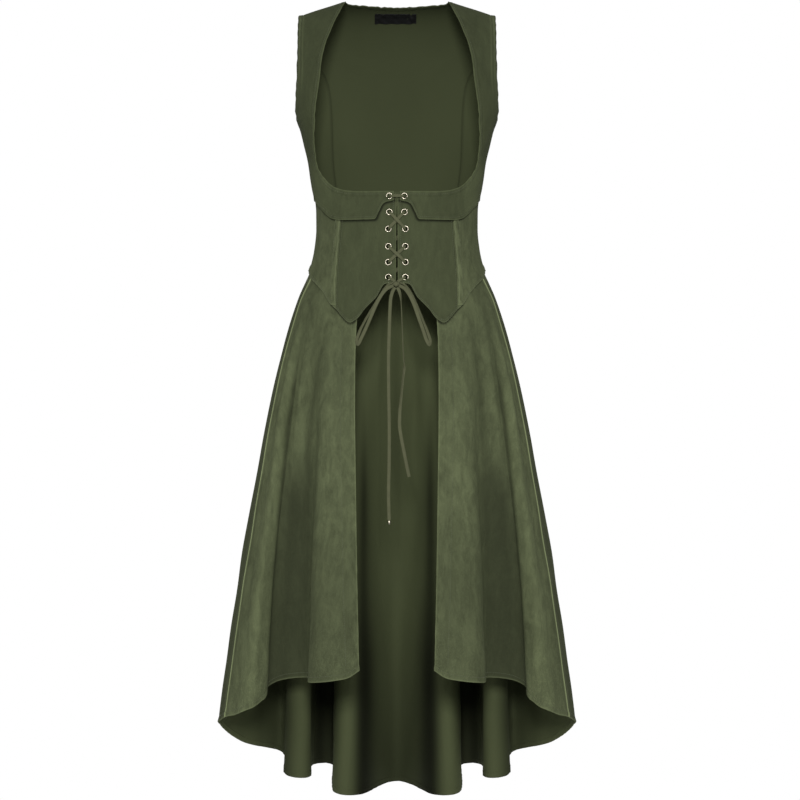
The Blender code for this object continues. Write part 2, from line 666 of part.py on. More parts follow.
# Routes of the bow's loops and free ends, clear of the knot, as worn
LEFT_LOOP = (
    (0.0115, -0.1155, -0.4730), (0.0180, -0.1185, -0.4800), (0.0255, -0.1200, -0.4930),
    (0.0335, -0.1210, -0.5110), (0.0420, -0.1210, -0.5320), (0.0490, -0.1205, -0.5500),
    (0.0530, -0.1195, -0.5640), (0.0515, -0.1225, -0.5695), (0.0470, -0.1250, -0.5620),
    (0.0415, -0.1255, -0.5460), (0.0340, -0.1255, -0.5250), (0.0265, -0.1250, -0.5040),
    (0.0185, -0.1235, -0.4880), (0.0110, -0.1205, -0.4790),
)
RIGHT_LOOP = (
    (-0.0130, -0.1155, -0.4730), (-0.0195, -0.1185, -0.4800), (-0.0275, -0.1200, -0.4930),
    (-0.0380, -0.1210, -0.5100), (-0.0500, -0.1210, -0.5300), (-0.0590, -0.1205, -0.5480),
    (-0.0640, -0.1200, -0.5640), (-0.0620, -0.1235, -0.5690), (-0.0565, -0.1260, -0.5590),
    (-0.0485, -0.1265, -0.5420), (-0.0390, -0.1265, -0.5200), (-0.0295, -0.1260, -0.4990),
    (-0.0205, -0.1240, -0.4850), (-0.0130, -0.1205, -0.4785),
)
LEFT_END = (
    (0.0042, -0.1150, -0.4850), (0.0065, -0.1165, -0.4980),
    (0.0085, -0.1175, -0.5400), (0.0105, -0.1180, -0.5850), (0.0118, -0.1180, -0.6030),
    (0.0096, -0.1180, -0.6260), (0.0072, -0.1180, -0.6500), (0.0045, -0.1180, -0.6800),
    (0.0042, -0.1180, -0.6950), (0.0072, -0.1180, -0.7180), (0.0105, -0.1185, -0.7350),
    (0.0180, -0.1190, -0.7720), (0.0196, -0.1190, -0.7790),
)
RIGHT_END = (
    (-0.0070, -0.1150, -0.4850), (-0.0100, -0.1165, -0.4980), (-0.0118, -0.1175, -0.5400),
    (-0.0132, -0.1180, -0.5980), (-0.0128, -0.1180, -0.6500), (-0.0120, -0.1180, -0.7030),
    (-0.0122, -0.1180, -0.7500), (-0.0132, -0.1180, -0.8090), (-0.0122, -0.1180, -0.8480),
)
TIP_LENGTH = 0.006
TIP_RADIUS = 0.0021


def make_bow():
    """The knot with its two loops and two hanging ends."""
    bpy.ops.mesh.primitive_uv_sphere_add(segments=KNOT_SEGMENTS, ring_count=KNOT_RINGS, radius=0.5)
    ball = bpy.context.object
    mesh = ball.data
    bpy.data.objects.remove(ball)
    mesh.transform(Matrix.Diagonal((*KNOT_SIZE, 1.0)))
    knot = smooth_shaded(placed("lace_knot", mesh, "lace"))
    knot.location = KNOT_AT
    for side, hand, loop, end in ((1, "left", LEFT_LOOP, LEFT_END), (-1, "right", RIGHT_LOOP, RIGHT_END)):
        start, finish = knot_face(LOOP_START_FACE, side), knot_face(LOOP_END_FACE, side)
        tube(f"lace_loop_{hand}", smooth_route([start, *loop, finish], LACE_STEP))
        tube(f"lace_end_{hand}", smooth_route([knot_face(END_FACE, side), *end], LACE_STEP))
    foot = Vector(RIGHT_END[-1])
    heading = (foot - Vector(RIGHT_END[-2])).normalized()
    tip = [foot + heading * (GAP + share * TIP_LENGTH) for share in (0.0, 0.5, 1.0)]
    tube("lace_tip", tip, "eyelet_metal", TIP_RADIUS)


def make_neck_label():
    """A blank label inside the back of the neck, laid on the back's own points."""
    across, level = back_grid()
    middle = len(BACK_SHARES) - 1
    patch = (slice(LABEL_ROWS[0], LABEL_ROWS[1] + 1),
             slice(middle - LABEL_COLUMNS, middle + LABEL_COLUMNS + 1))
    cloth("neck_label", bodice, across[patch], root_of(level[patch]), lift=-LAYER, wall=LABEL_WALL,
          finish="label")


def lower_edge():
    """Level of the bodice's lower edge at each angle, from the centre front to the centre back."""
    points = CORSET_FRONT_EDGE + CORSET_SIDE_EDGE[1:]
    angles = [float(angle_at(point.x, point.level)) for point in points]
    levels = [point.level for point in points]
    return angles + [180.0], levels + [BACK_HEM]


EDGE_ANGLES, EDGE_LEVELS = lower_edge()


def fold_curve(column, mirror, rounded=False):
    """A fold column over the station number, from the left front edge to the right front edge."""
    values = [getattr(row, column) for row in FOLDS]
    return smooth_curve(list(enumerate(values + [mirror(value) for value in values[-2::-1]])), rounded)


waist_angle_at = fold_curve("waist", lambda angle: 360 - angle)
hem_angle_at = fold_curve("hem", lambda angle: 360 - angle)
hem_x_at = fold_curve("x", lambda x: -x, rounded=True)
hem_y_at = fold_curve("y", lambda y: y, rounded=True)
hem_z_at = fold_curve("z", lambda z: z)


def waist_points(station, drop, lift):
    """Points on the bodice's surface at a drop below its lower edge, for each skirt station."""
    angle = waist_angle_at(station)
    level = np.interp(np.minimum(angle, 360 - angle), EDGE_ANGLES, EDGE_LEVELS) - drop
    return lifted(bodice, angle, root_of(level), lift)


def skirt(station, fall):
    """Points on the outside of the skirt; fall runs from 0 at the waist to 1 at the hem."""
    station, fall = np.broadcast_arrays(station, fall)
    waist = waist_points(station, SKIRT_DROP, -SKIRT_INSET)
    turn = np.radians(hem_angle_at(station))
    power = 2 / HEM_SQUARENESS
    across = signed_power(np.cos(turn), power)
    base_x = HEM_HALF_WIDTH * signed_power(np.sin(turn), power)
    base_y = -across * np.where(across > 0, HEM_FRONT, HEM_BACK)
    hem_x, hem_y, hem_z = hem_x_at(station), hem_y_at(station), hem_z_at(station)
    at_front = np.cos(turn) > 0
    share = np.where(at_front, FRONT_FULLNESS + (1 - FRONT_FULLNESS) * np.sin(turn) ** 2, 1.0)
    reach = np.hypot(base_x, base_y)
    fullness = share * fullness_at(fall) / reach
    growth = np.maximum(fall, 0) ** FOLD_GROWTH
    x = waist[..., 0] + (base_x - waist[..., 0]) * fall + base_x * fullness + (hem_x - base_x) * growth
    y = waist[..., 1] + (base_y - waist[..., 1]) * fall + base_y * fullness + (hem_y - base_y) * growth
    z = waist[..., 2] + (hem_z - waist[..., 2]) * fall
    return np.stack((x, y, z), axis=-1)


def make_skirt_panel(name, first_fold, last_fold, side=1, seams=("first", "last")):
    """A panel of the skirt between two folds, tucked inside the corset's lower edge."""
    steps = (last_fold - first_fold) * SKIRT_STEPS
    station = np.linspace(first_fold, last_fold, steps + 1)
    across, down = np.meshgrid(station, SKIRT_FALLS)
    skins = []
    for lift in (0.0, -WALL):
        tuck = waist_points(station, -SKIRT_TUCK, lift - SKIRT_INSET)
        skins.append(np.concatenate((tuck[None], lifted(skirt, across, down, lift))))
    cloth_between(name, *skins, side, seams)


def main():
    for obj in list(bpy.data.objects):
        bpy.data.objects.remove(obj)
    for name in ("medieval_gown", "cutters"):
        bpy.context.scene.collection.children.link(bpy.data.collections.new(name))
    make_back_centre()
    make_neck_label()
    for side, hand in ((1, "left"), (-1, "right")):
        make_back_side(side, hand)
        make_yoke(side, hand)
        make_corset_front(side, hand)
        make_corset_side(side, hand)
        make_bone_channel(side, hand)
        make_eyelets(side, hand)
        make_skirt_panel(f"skirt_front_{hand}", FRONT_EDGE_FOLD, SIDE_SEAM_FOLD, side, ("last",))
        make_skirt_panel(f"skirt_side_{hand}", SIDE_SEAM_FOLD, BACK_SEAM_FOLD, side)
    make_skirt_panel("skirt_back", BACK_SEAM_FOLD, 2 * CENTRE_FOLD - BACK_SEAM_FOLD)
    make_lacing()
    make_bow()


main()
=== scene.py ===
"""A laced open-front gown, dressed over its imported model, in a pale studio.

Laid out as a Blender add-on and run as a script. Metres, +Z up; the front faces -Y and +X is the
wearer's left. The cloth is worked out from the gown's own sizes, on one surface for the bodice and
one for the skirt, and each panel is laid finely on its surface with its hems, seams and creases.
"""
import math
from collections import namedtuple

import bpy
import numpy as np
from mathutils import Matrix, Vector


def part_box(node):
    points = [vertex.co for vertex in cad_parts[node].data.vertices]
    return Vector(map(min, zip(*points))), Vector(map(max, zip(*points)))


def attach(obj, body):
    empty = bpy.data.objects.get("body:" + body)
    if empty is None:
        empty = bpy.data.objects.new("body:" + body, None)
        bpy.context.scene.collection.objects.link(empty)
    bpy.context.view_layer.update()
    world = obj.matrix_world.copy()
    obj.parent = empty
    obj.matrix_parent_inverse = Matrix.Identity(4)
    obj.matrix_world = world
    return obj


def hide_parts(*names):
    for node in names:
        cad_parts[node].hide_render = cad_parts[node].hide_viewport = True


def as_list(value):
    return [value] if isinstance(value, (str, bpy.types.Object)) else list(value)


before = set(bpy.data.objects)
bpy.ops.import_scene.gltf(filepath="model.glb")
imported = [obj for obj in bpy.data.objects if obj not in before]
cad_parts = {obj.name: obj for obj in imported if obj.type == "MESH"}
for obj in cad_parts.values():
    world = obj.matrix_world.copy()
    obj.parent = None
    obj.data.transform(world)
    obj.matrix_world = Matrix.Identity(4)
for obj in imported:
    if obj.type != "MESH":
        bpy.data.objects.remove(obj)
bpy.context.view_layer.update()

bl_info = {
    "name": "Laced gown",
    "version": (1, 0, 0),
    "blender": (4, 5, 0),
    "location": "View3D > Sidebar > Gown",
    "description": "Dresses the gown's model with suede, stitching, eyelets and lace",
    "category": "Object",
}

# Cloth
GAP = 0.0003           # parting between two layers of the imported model
LAYER = 0.0018         # step from one layer of cloth to the next one under it
WALL = 0.0015          # thickness of the cloth
NUDGE = 0.001          # step used to measure the slope of a surface

# Shoulders and armholes
NECK_X = 0.084         # where the shoulder seams start, from the centre
SHOULDER_X = 0.1624    # and where they end
SHOULDER_SLOPE = 0.32
SLOPE_ROUNDING = 0.006
SLOPE_DEPTH = 0.18     # how far down the slope fades out
ARMHOLE_TOP = -0.12    # where its two edges start to draw together
ARMHOLE_BOTTOM = -0.197
ARMHOLE_FRONT = 0.50   # place of its edges, as a share of the bodice's depth
ARMHOLE_BACK = 0.55

# Back
BACK_NECK = -0.0035    # dip of the neckline's middle
BACK_HEM = -0.441
BACK_SIDE_TOP = -0.0760
# Levels that get a row of their own, where the curved seams leave the armholes
BACK_SEAM_ROWS = (-0.0748, -0.0757, -0.0760, -0.0764, -0.0770, -0.0778, -0.0790, -0.0810)

# Yoke flap and corset
FLAP_START = -0.25     # where the flap starts to stand off the bodice, and where it does in full
FLAP_END = -0.295
FLAP_LIFT = 0.0024
FLAP_SINK = 0.2        # share of the lift that it loses over these angles beside the side seam
SINK_ANGLES = (80.0, 90.0)
SIDE_RISE = 0.46       # share of the lift with which the side back rises to meet it there,
RISE_ANGLES = (90.0, 104.0)    # and the angles and depths over which that rise fades
RISE_DEPTHS = (0.3235, 0.350)
CORSET_TOP = -0.325
CORSET_SIDE_TOP = -0.318
SLIT_TOP = 0.0006
SLIT_BOTTOM = 0.0015

# Bone channels
CHANNEL_TOP = -0.3735
CHANNEL_UNDER = -0.3675  # where its end slips under the flap
CHANNEL_BOTTOM = -0.5055
CHANNEL_INSET = 0.001
CHANNEL_WIDTH = 0.0075
CHANNEL_WALL = 0.001
CHANNEL_LIFT = 0.0005
CHANNEL_DOME = 0.0011  # how far the bone swells the middle of its channel

# Neck label
LABEL_TOP = -0.0092
LABEL_DROP = 0.0135
LABEL_SHARE = 0.98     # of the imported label's width
LABEL_SHIFT = 0.0025   # to the wearer's left
LABEL_WALL = 0.0009
LABEL_CLEAR = 0.0002   # how much closer than a layer it lies to the cloth

# Eyelets
BORE = 0.0030
FLANGE = 0.0055
CLOTH_HOLE = 0.0038    # radius of the hole in the cloth
PUNCH_REACH = 0.008
BARREL_END = 0.0004    # how far the barrel stands out behind
EYELET_STEPS = 36      # round each
TIP_STEPS = 20

# Lace: how far it stands off the cloth midway between two eyelets, in front and then behind
CROSS_OVER = 0.0062
CROSS_UNDER = 0.0024
TOP_BAR = 0.0048
BEHIND_NEAR = 0.0062
BEHIND_FAR = 0.0100
LACE_ARCH = 0.0006
LACE_STEP = 0.0025     # between the points of its free stretches
LACING_STEP = 0.0009   # and of the crossed lace
BUNCHED_THICKNESS = 1.1
SLANT_PINCH = 1.15     # how soon the lace bunches as it turns into a bore
FRONTWARDS = (0.0, -1.0, 0.0)

# The knot, and the directions from its middle in which the lace leaves it
KNOT_SIZE = (0.0110, 0.0080, 0.0090)
KNOT_AT = (-0.0010, -0.1135, -0.4725)
KNOT_CLEAR = 0.0012
LACING_FACE = (0.45, 0.60, 0.70)
LOOP_START_FACE = (0.95, 0.0, 0.35)
LOOP_END_FACE = (0.80, -0.45, -0.45)
END_FACE = (0.40, 0.10, -1.0)

# Skirt
SKIRT_TUCK = 0.008     # how far it runs up inside the bodice's lower edge
SKIRT_DROP = 0.002     # of its waist below that edge
SKIRT_INSET = 0.0025   # of its waist under the bodice's surface
HEM_HALF_WIDTH = 0.2955
HEM_FRONT = 0.185
HEM_BACK = 0.215
HEM_SQUARENESS = 2.1
FOLD_GROWTH = 1.35     # how late the folds open on the way down
FRONT_FULLNESS = 0.5   # share of the fullness that the front has
SKIRT_WAVES = 0.0008
FRONT_FINENESS = 1.4   # how much finer its front panels are laid

# The bodice, level by level: half width, front and back depth, and how square the section is
Section = namedtuple("Section", "level half_width front back squareness")
BODICE = (
    Section(0.000, 0.1650, 0.0000, 0.000, 4.0),
    Section(-0.002, 0.1650, 0.0130, 0.024, 4.0),
    Section(-0.006, 0.1650, 0.0225, 0.041, 4.0),
    Section(-0.016, 0.1650, 0.0370, 0.060, 4.0),
    Section(-0.040, 0.1650, 0.0580, 0.080, 4.0),
    Section(-0.080, 0.1650, 0.0800, 0.095, 4.0),
    Section(-0.140, 0.1660, 0.1000, 0.103, 3.8),
    Section(-0.178, 0.1665, 0.1090, 0.106, 3.4),
    Section(-0.197, 0.1650, 0.1120, 0.106, 3.1),
    Section(-0.211, 0.1600, 0.1130, 0.106, 2.95),
    Section(-0.244, 0.1520, 0.1130, 0.104, 2.7),
    Section(-0.277, 0.1435, 0.1105, 0.100, 2.55),
    Section(-0.310, 0.1380, 0.1070, 0.094, 2.45),
    Section(-0.335, 0.1335, 0.1050, 0.089, 2.4),
    Section(-0.376, 0.1328, 0.1050, 0.085, 2.35),
    Section(-0.409, 0.1360, 0.1050, 0.083, 2.3),
    Section(-0.442, 0.1435, 0.1050, 0.082, 2.3),
    Section(-0.470, 0.1540, 0.1055, 0.083, 2.3),
    Section(-0.500, 0.1660, 0.1090, 0.087, 2.3),
    Section(-0.545, 0.1790, 0.1145, 0.092, 2.3),
)
NECKLINE = ((0.000, 0.0840), (-0.046, 0.1040), (-0.092, 0.1190), (-0.144, 0.1245), (-0.193, 0.1310))
STRAP_LEVELS = (0.0, -0.002, -0.0075, -0.018, -0.040, -0.068, -0.100, -0.133, -0.165)

# The yoke below the strap, from the neckline's edge to its outer edge; SIDE is the side seam
Station = namedtuple("Station", "inner_x inner_level outer_x outer_level")
SIDE = None
YOKE = (
    Station(0.1310, -0.1930, SIDE, -0.1970),
    Station(0.1335, -0.2300, SIDE, -0.2360),
    Station(0.1325, -0.2550, SIDE, -0.2700),
    Station(0.1285, -0.2750, SIDE, -0.3000),
    Station(0.1215, -0.2900, SIDE, -0.3235),
    Station(0.1130, -0.3020, 0.1290, -0.3360),
    Station(0.1055, -0.3100, 0.1180, -0.3500),
    Station(0.0950, -0.3165, 0.1027, -0.3650),
    Station(0.0830, -0.3205, 0.0895, -0.3685),
    Station(0.0630, -0.3230, 0.0630, -0.3690),
    Station(0.0420, -0.3235, 0.0361, -0.3690),
    Station(0.0310, -0.3235, 0.0285, -0.3565),
    Station(0.0200, -0.3235, 0.0205, -0.3430),
    Station(0.0045, -0.3235, 0.0045, -0.3385),
)

# The corset: the front seam's distance from the centre, and the pointed lower edge
CORSET_SEAM = ((-0.325, 0.0885), (-0.368, 0.0898), (-0.425, 0.0938), (-0.466, 0.0968), (-0.5125, 0.0965))
EdgePoint = namedtuple("EdgePoint", "x level")
CORSET_FRONT_EDGE = (
    EdgePoint(SLIT_BOTTOM, -0.4700),
    EdgePoint(0.0190, -0.4720),
    EdgePoint(0.0325, -0.4930),
    EdgePoint(0.0490, -0.5100),
    EdgePoint(0.0650, -0.5290),
    EdgePoint(0.0750, -0.5340),
    EdgePoint(0.0880, -0.5230),
    EdgePoint(0.0965, -0.5125),
)
CORSET_SIDE_EDGE = (
    EdgePoint(0.0965, -0.5125),
    EdgePoint(0.1040, -0.5045),
    EdgePoint(0.1142, -0.4840),
    EdgePoint(0.1250, -0.4710),
    EdgePoint(0.1356, -0.4610),
    EdgePoint(SIDE, BACK_HEM),
)
BACK_SEAM = ((-0.075, 0.1620), (-0.083, 0.1400), (-0.100, 0.1250), (-0.135, 0.1150), (-0.175, 0.1120),
             (-0.250, 0.1100), (-0.330, 0.1000), (-0.400, 0.0920), (-0.445, 0.0920))

# Eyelet pairs from the top: level and distance from the centre
EyeletPair = namedtuple("EyeletPair", "level x")
EYELETS = (
    EyeletPair(-0.3315, 0.0120),
    EyeletPair(-0.3570, 0.0120),
    EyeletPair(-0.3840, 0.0136),
    EyeletPair(-0.4117, 0.0136),
    EyeletPair(-0.4370, 0.0136),
    EyeletPair(-0.4610, 0.0136),
)

# The skirt's folds from the front edge to the centre back: the angle of each at the waist and on
# the smooth hem, and where the hem really lies there
Fold = namedtuple("Fold", "waist hem x y z")
FOLDS = (
    Fold(18.4, 10.5, 0.0585, -0.182, -1.078),
    Fold(20.3, 14.7, 0.0800, -0.190, -1.090),
    Fold(30.4, 26.3, 0.1330, -0.168, -1.099),
    Fold(39.3, 28.7, 0.1430, -0.078, -1.104),
    Fold(48.9, 39.5, 0.1910, -0.056, -1.112),
    Fold(55.2, 45.4, 0.2140, -0.085, -1.138),
    Fold(60.6, 56.3, 0.2480, -0.098, -1.156),
    Fold(69.6, 69.7, 0.2780, -0.060, -1.170),
    Fold(87.0, 90.0, 0.2955, 0.005, -1.190),
    Fold(101.0, 118.2, 0.2620, 0.130, -1.245),
    Fold(109.1, 137.0, 0.2020, 0.195, -1.272),
    Fold(122.2, 142.0, 0.1880, 0.070, -1.287),
    Fold(125.2, 150.2, 0.1500, 0.068, -1.292),
    Fold(143.3, 152.2, 0.1480, 0.238, -1.303),
    Fold(146.4, 159.7, 0.1100, 0.245, -1.308),
    Fold(164.1, 160.7, 0.1050, 0.078, -1.318),
    Fold(167.5, 168.8, 0.0620, 0.068, -1.321),
    Fold(180.0, 180.0, 0.0000, 0.185, -1.322),
)
FRONT_EDGE_FOLD = 0
SIDE_SEAM_FOLD = 7
BACK_SEAM_FOLD = 13
CENTRE_FOLD = 17
FULLNESS = ((0.0, 0.0), (0.063, 0.0125), (0.17, 0.020), (0.29, 0.0228), (0.5, 0.019),
            (0.73, 0.0127), (1.0, 0.0))

# How finely the cloth is laid: distances of its rows from a worked edge, and its step elsewhere
NEAR_EDGE = (0.0, 0.0002, 0.00045, 0.00075, 0.0016, 0.0030, 0.0046, 0.0060, 0.0072, 0.0080,
             0.0086, 0.0092, 0.0102, 0.0120)
STEP_ROUND = 0.0042
STEP_DOWN = 0.0060
PACING_POINTS = 160
EDGE_POINTS = 150      # on the edge of a panel that lies on another

# Hems and seams, as lifts of the cloth's outside
HEM_WIDTH = 0.0086
HEM_SWELL = 0.00035
STITCH_DIP = 0.00030
STITCH_SPREAD = 0.0010
RIDGE_HEIGHT = 0.0014
RIDGE_WIDTH = 0.0020
GROOVE_DEPTH = 0.0005
GROOVE_WIDTH = 0.0012
SHOULDER_HEIGHT = 0.00025
SHOULDER_PLACE = 0.0042
TURNING = 0.0006       # thickness that a turned hem adds inside
PUCKER = 0.0011        # waves that the stitches pull into a hem
PUCKER_REACH = 0.012
PUCKER_PACE = 5.5
FLAP_ROLL = 0.0018     # how far the flap's lower edge stands off the corset, past its lift
FLAP_ROLL_ACROSS = (0.55, 1.0)
FLAP_ROLL_REACH = 0.06
FLAP_ROLL_LOSS = 0.7   # share of the roll that it loses towards the centre front
FLAP_LOSS_DOWN = (0.93, 1.0)
CORSET_ROLL = 0.0012   # how far the corset's pointed edge stands off the skirt
CORSET_ROLL_DOWN = (0.90, 1.0)
FACING_WIDTH = 0.0260
FACING_STEP = 0.0004   # thickness that the skirt's front facing shows
FACING_DIP = 0.0007    # groove along the facing's inner edge
FACING_DIP_WIDTH = 0.0014
YOKE_FINENESS = 2.0    # how much finer the yokes are laid, and the corset
CORSET_FINENESS = 3.0

# How the nap lies and wears, and the shade and light painted on the cloth: shades run from 0 to 1,
# and spans are shares across or down a panel
WEAR_AND_HIGHLIGHT_WIDTH = 0.0017    # how far a rubbed edge, or the highlight painted along a skirt seam, stays paler
LIT_NAP = 0.5          # how much a negative shade shows paler: painted light on the flap and the skirt's folds, and the strap's paler lines
HEM_WEAR = 0.22        # how rubbed a hem is beside the skirt's seams
PAINTED_EDGE_SHADOW = 1.2    # painted shadow beside an edge that lies on the cloth
EDGE_SHADOW_START = 0.001  # how far from the edge that painted shadow starts to fade, and over how far
EDGE_SHADOW_WIDTH = 0.0020
PUCKER_PAINTED_SHADE = 0.40    # painted shade in the hollows between a hem's stitches
RUFFLE_REACH = 0.085   # how far up from the skirt's hem its nap is ruffled
SEAM_PAINTED_SHADE = 0.32      # painted shade of a seam's groove on the inside, and its width there
SEAM_SOFTNESS = 0.0030
FLANK_PAINTED_SHADE = 0.14     # painted shade over all of the corset's sides
BACK_PAINTED_SHADE = 0.22      # painted shade of the back's inside at its top
BACK_SHADE_DOWN = (0.10, 1.0)
# painted shade on the strap, darkest towards the neckline
STRAP_PAINTED_SHADE = 0.24
STRAP_SHADE_ACROSS = (0.2, 0.9)
STRAP_SHADE_DOWN = (0.25, 0.62)
FLAP_PAINTED_LIGHT = 0.30      # painted light: how much paler the flap is beside the side seam
FLAP_LIGHT_START = (0.46, 0.60)
FLAP_LIGHT_END = (0.64, 0.76)
STRAP_LINES = ((0.0040, 0.60), (0.0090, 0.45))  # paler lines on it: inset from its side, strength
STRAP_LINE_WIDTH = 0.0012
STRAP_LINE_END = (0.26, 0.40)

# Stitches
STITCH_PITCH = 0.0034
STITCH_LENGTH = 0.0026
THREAD_RADIUS = 0.00024
THREAD_RISE = 0.3      # shares of the radius by which a stitch stands out and is spread
THREAD_SPREAD = 1.2
TOPSTITCH = 0.0050     # of a turned edge
DOUBLE_STITCH = 0.0028

# Finishes of a cloth's outside and inside
BODICE_FINISHES = ("suede", "suede_inside")
TRIM_FINISHES = ("suede_skirt", "suede_inside")
SKIRT_FINISHES = ("suede_skirt", "skirt_inside")

# Studio
FLOOR_RADIUS = 0.68
FLOOR_CORNERS = 96
LIGHT_TARGET = (0.0, 0.0, -0.65)
WHITE = (1.0, 1.0, 1.0, 1.0)


def smooth_curve(rows, rounded=False):
    """A function through the rows' (place, value) pairs. It never overshoots them, or where it is
    rounded it swings out past a turn as a fold of cloth does."""
    place, value = np.array(sorted(rows), float).T
    step = np.diff(place)
    rise = np.diff(value) / step
    slope = np.concatenate((rise[:1], np.zeros(len(rise) - 1), rise[-1:]))
    for row in range(1, len(rise)):
        before, after = rise[row - 1], rise[row]
        if rounded:
            slope[row] = (before + after) / 2
        elif before * after > 0:
            share_before = 2 * step[row] + step[row - 1]
            share_after = step[row] + 2 * step[row - 1]
            slope[row] = (share_before + share_after) / (share_before / before + share_after / after)

    def curve(at):
        at = np.clip(at, place[0], place[-1])
        row = np.clip(np.searchsorted(place, at, side="right") - 1, 0, len(step) - 1)
        part = (at - place[row]) / step[row]
        start = (1 + 2 * part) * (1 - part) ** 2 * value[row]
        end = part ** 2 * (3 - 2 * part) * value[row + 1]
        bend = part * (1 - part) * ((1 - part) * slope[row] - part * slope[row + 1])
        return start + end + bend * step[row]

    return curve


def signed_power(value, power):
    return np.sign(value) * np.abs(value) ** power


def unit(vectors):
    return vectors / np.linalg.norm(vectors, axis=-1, keepdims=True)


def eased(start, end, value):
    """0 before the start, 1 after the end, and smooth between them."""
    share = np.clip((value - start) / (end - start), 0, 1)
    return share ** 2 * (3 - 2 * share)


def faded(start, end, value):
    """1 before the start, 0 after the end, and smooth between them."""
    return 1 - eased(start, end, value)


def bell(distance, width):
    return np.exp(-(distance / width) ** 2)


def root_of(level):
    """Square root of the depth below the shoulders, in which the bodice's depths are even curves."""
    return np.sqrt(np.maximum(-np.asarray(level, float), 0.0))


def bodice_curve(column):
    return smooth_curve([(float(root_of(row.level)), getattr(row, column)) for row in BODICE])


half_width_at, front_at, back_at, squareness_at = (
    bodice_curve(column) for column in ("half_width", "front", "back", "squareness"))
neckline_at = smooth_curve(NECKLINE)
corset_seam_at = smooth_curve(CORSET_SEAM)
back_seam_at = smooth_curve(BACK_SEAM)
fullness_at = smooth_curve(FULLNESS)


def bodice(angle, root):
    """Points on the outside of the bodice. The angle runs in degrees from the centre front, round
    by the wearer's left; the root is root_of the level."""
    angle, root = np.broadcast_arrays(np.radians(angle), np.maximum(root, 0.0))
    power = 2.0 / squareness_at(root)
    x = half_width_at(root) * signed_power(np.sin(angle), power)
    across = signed_power(np.cos(angle), power)
    y = -across * np.where(across > 0, front_at(root), back_at(root))
    level = -root ** 2
    outwards = np.abs(x) - NECK_X
    fall = SHOULDER_SLOPE * (outwards + np.sqrt(outwards ** 2 + SLOPE_ROUNDING ** 2)) / 2
    fade = np.clip(1 + level / SLOPE_DEPTH, 0, 1)
    z = level - fall * fade ** 2 * (3 - 2 * fade)
    return np.stack((x, y, z), axis=-1)


def angle_at(x, level):
    """Angle on the front half where the bodice is x from the centre; SIDE is the side seam."""
    if x is SIDE:
        return 90.0
    root = root_of(level)
    share = np.clip(np.asarray(x, float) / half_width_at(root), 0, 1)
    return np.degrees(np.arcsin(share ** (squareness_at(root) / 2)))


def armhole_angle(level, share):
    """Angle of the armhole's edge from the centre, where the edge keeps a share of the depth."""
    below = np.clip((ARMHOLE_TOP - np.asarray(level, float)) / (ARMHOLE_TOP - ARMHOLE_BOTTOM), 0, 1)
    across = share * np.sqrt(1 - below ** 2)
    return np.degrees(np.arccos(across ** (squareness_at(root_of(level)) / 2)))


def lifted(surface, across, down, lift):
    """Points of a surface moved out along its normal; a negative lift moves them in."""
    along = surface(across + NUDGE, down) - surface(across - NUDGE, down)
    fall = surface(across, down + NUDGE) - surface(across, down - NUDGE)
    return surface(across, down) + np.asarray(lift)[..., None] * unit(np.cross(fall, along))


def flap_lift(level):
    """The yoke's stand-off from the bodice's surface, full where it laps over the corset."""
    return FLAP_LIFT * eased(FLAP_START, FLAP_END, level)


def lower_edge():
    """The level of the bodice's lower edge at each angle from the centre front."""
    points = CORSET_FRONT_EDGE + CORSET_SIDE_EDGE[1:]
    rows = [(float(angle_at(point.x, point.level)), point.level) for point in points]
    return smooth_curve(rows + [(180.0, BACK_HEM)])


lower_edge_at = lower_edge()


def fold_curve(column, mirror, rounded=False):
    """A fold column over the station number, from the left front edge to the right front edge."""
    values = [getattr(row, column) for row in FOLDS]
    return smooth_curve(list(enumerate(values + [mirror(value) for value in values[-2::-1]])), rounded)


waist_angle_at = fold_curve("waist", lambda angle: 360 - angle)
hem_angle_at = fold_curve("hem", lambda angle: 360 - angle)
hem_x_at = fold_curve("x", lambda x: -x, rounded=True)
hem_y_at = fold_curve("y", lambda y: y, rounded=True)
hem_z_at = fold_curve("z", lambda z: z)


def waist_points(station, drop, lift):
    """Points on the bodice's surface at a drop below its lower edge, for each skirt station."""
    angle = waist_angle_at(station)
    level = lower_edge_at(np.minimum(angle, 360 - angle)) - drop
    return lifted(bodice, angle, root_of(level), lift)


def skirt(station, fall):
    """Points on the outside of the skirt; fall runs from 0 at the waist to 1 at the hem, and
    below 0 up the tuck inside the bodice."""
    station, fall = np.broadcast_arrays(station, fall)
    waist = waist_points(station, SKIRT_DROP, -SKIRT_INSET)
    turn = np.radians(hem_angle_at(station))
    power = 2 / HEM_SQUARENESS
    across = signed_power(np.cos(turn), power)
    base_x = HEM_HALF_WIDTH * signed_power(np.sin(turn), power)
    base_y = -across * np.where(across > 0, HEM_FRONT, HEM_BACK)
    hem_x, hem_y, hem_z = hem_x_at(station), hem_y_at(station), hem_z_at(station)
    share = np.where(np.cos(turn) > 0, FRONT_FULLNESS + (1 - FRONT_FULLNESS) * np.sin(turn) ** 2, 1.0)
    fullness = share * fullness_at(fall) / np.hypot(base_x, base_y)
    growth = np.maximum(fall, 0) ** FOLD_GROWTH
    x = waist[..., 0] + (base_x - waist[..., 0]) * fall + base_x * fullness + (hem_x - base_x) * growth
    y = waist[..., 1] + (base_y - waist[..., 1]) * fall + base_y * fullness + (hem_y - base_y) * growth
    z = waist[..., 2] + (hem_z - waist[..., 2]) * fall
    return np.stack((x, y, z), axis=-1)


# Patterns of the panels. Each turns shares across the panel and down it, from 0 to 1, into a place
# on the bodice or the skirt.

def down_to(top, bottom, share):
    """Level at a share of the way down, even in root_of."""
    root = root_of(top) + (root_of(bottom) - root_of(top)) * share
    return -root ** 2


def back_edge_angle(level):
    """Angle of the back panel's edge from the centre back: the armhole, then the curved seam."""
    armhole = armhole_angle(level, ARMHOLE_BACK)
    seam = angle_at(back_seam_at(level), level)
    return np.where(level > BACK_SEAM[0][0], armhole, np.minimum(seam, armhole))


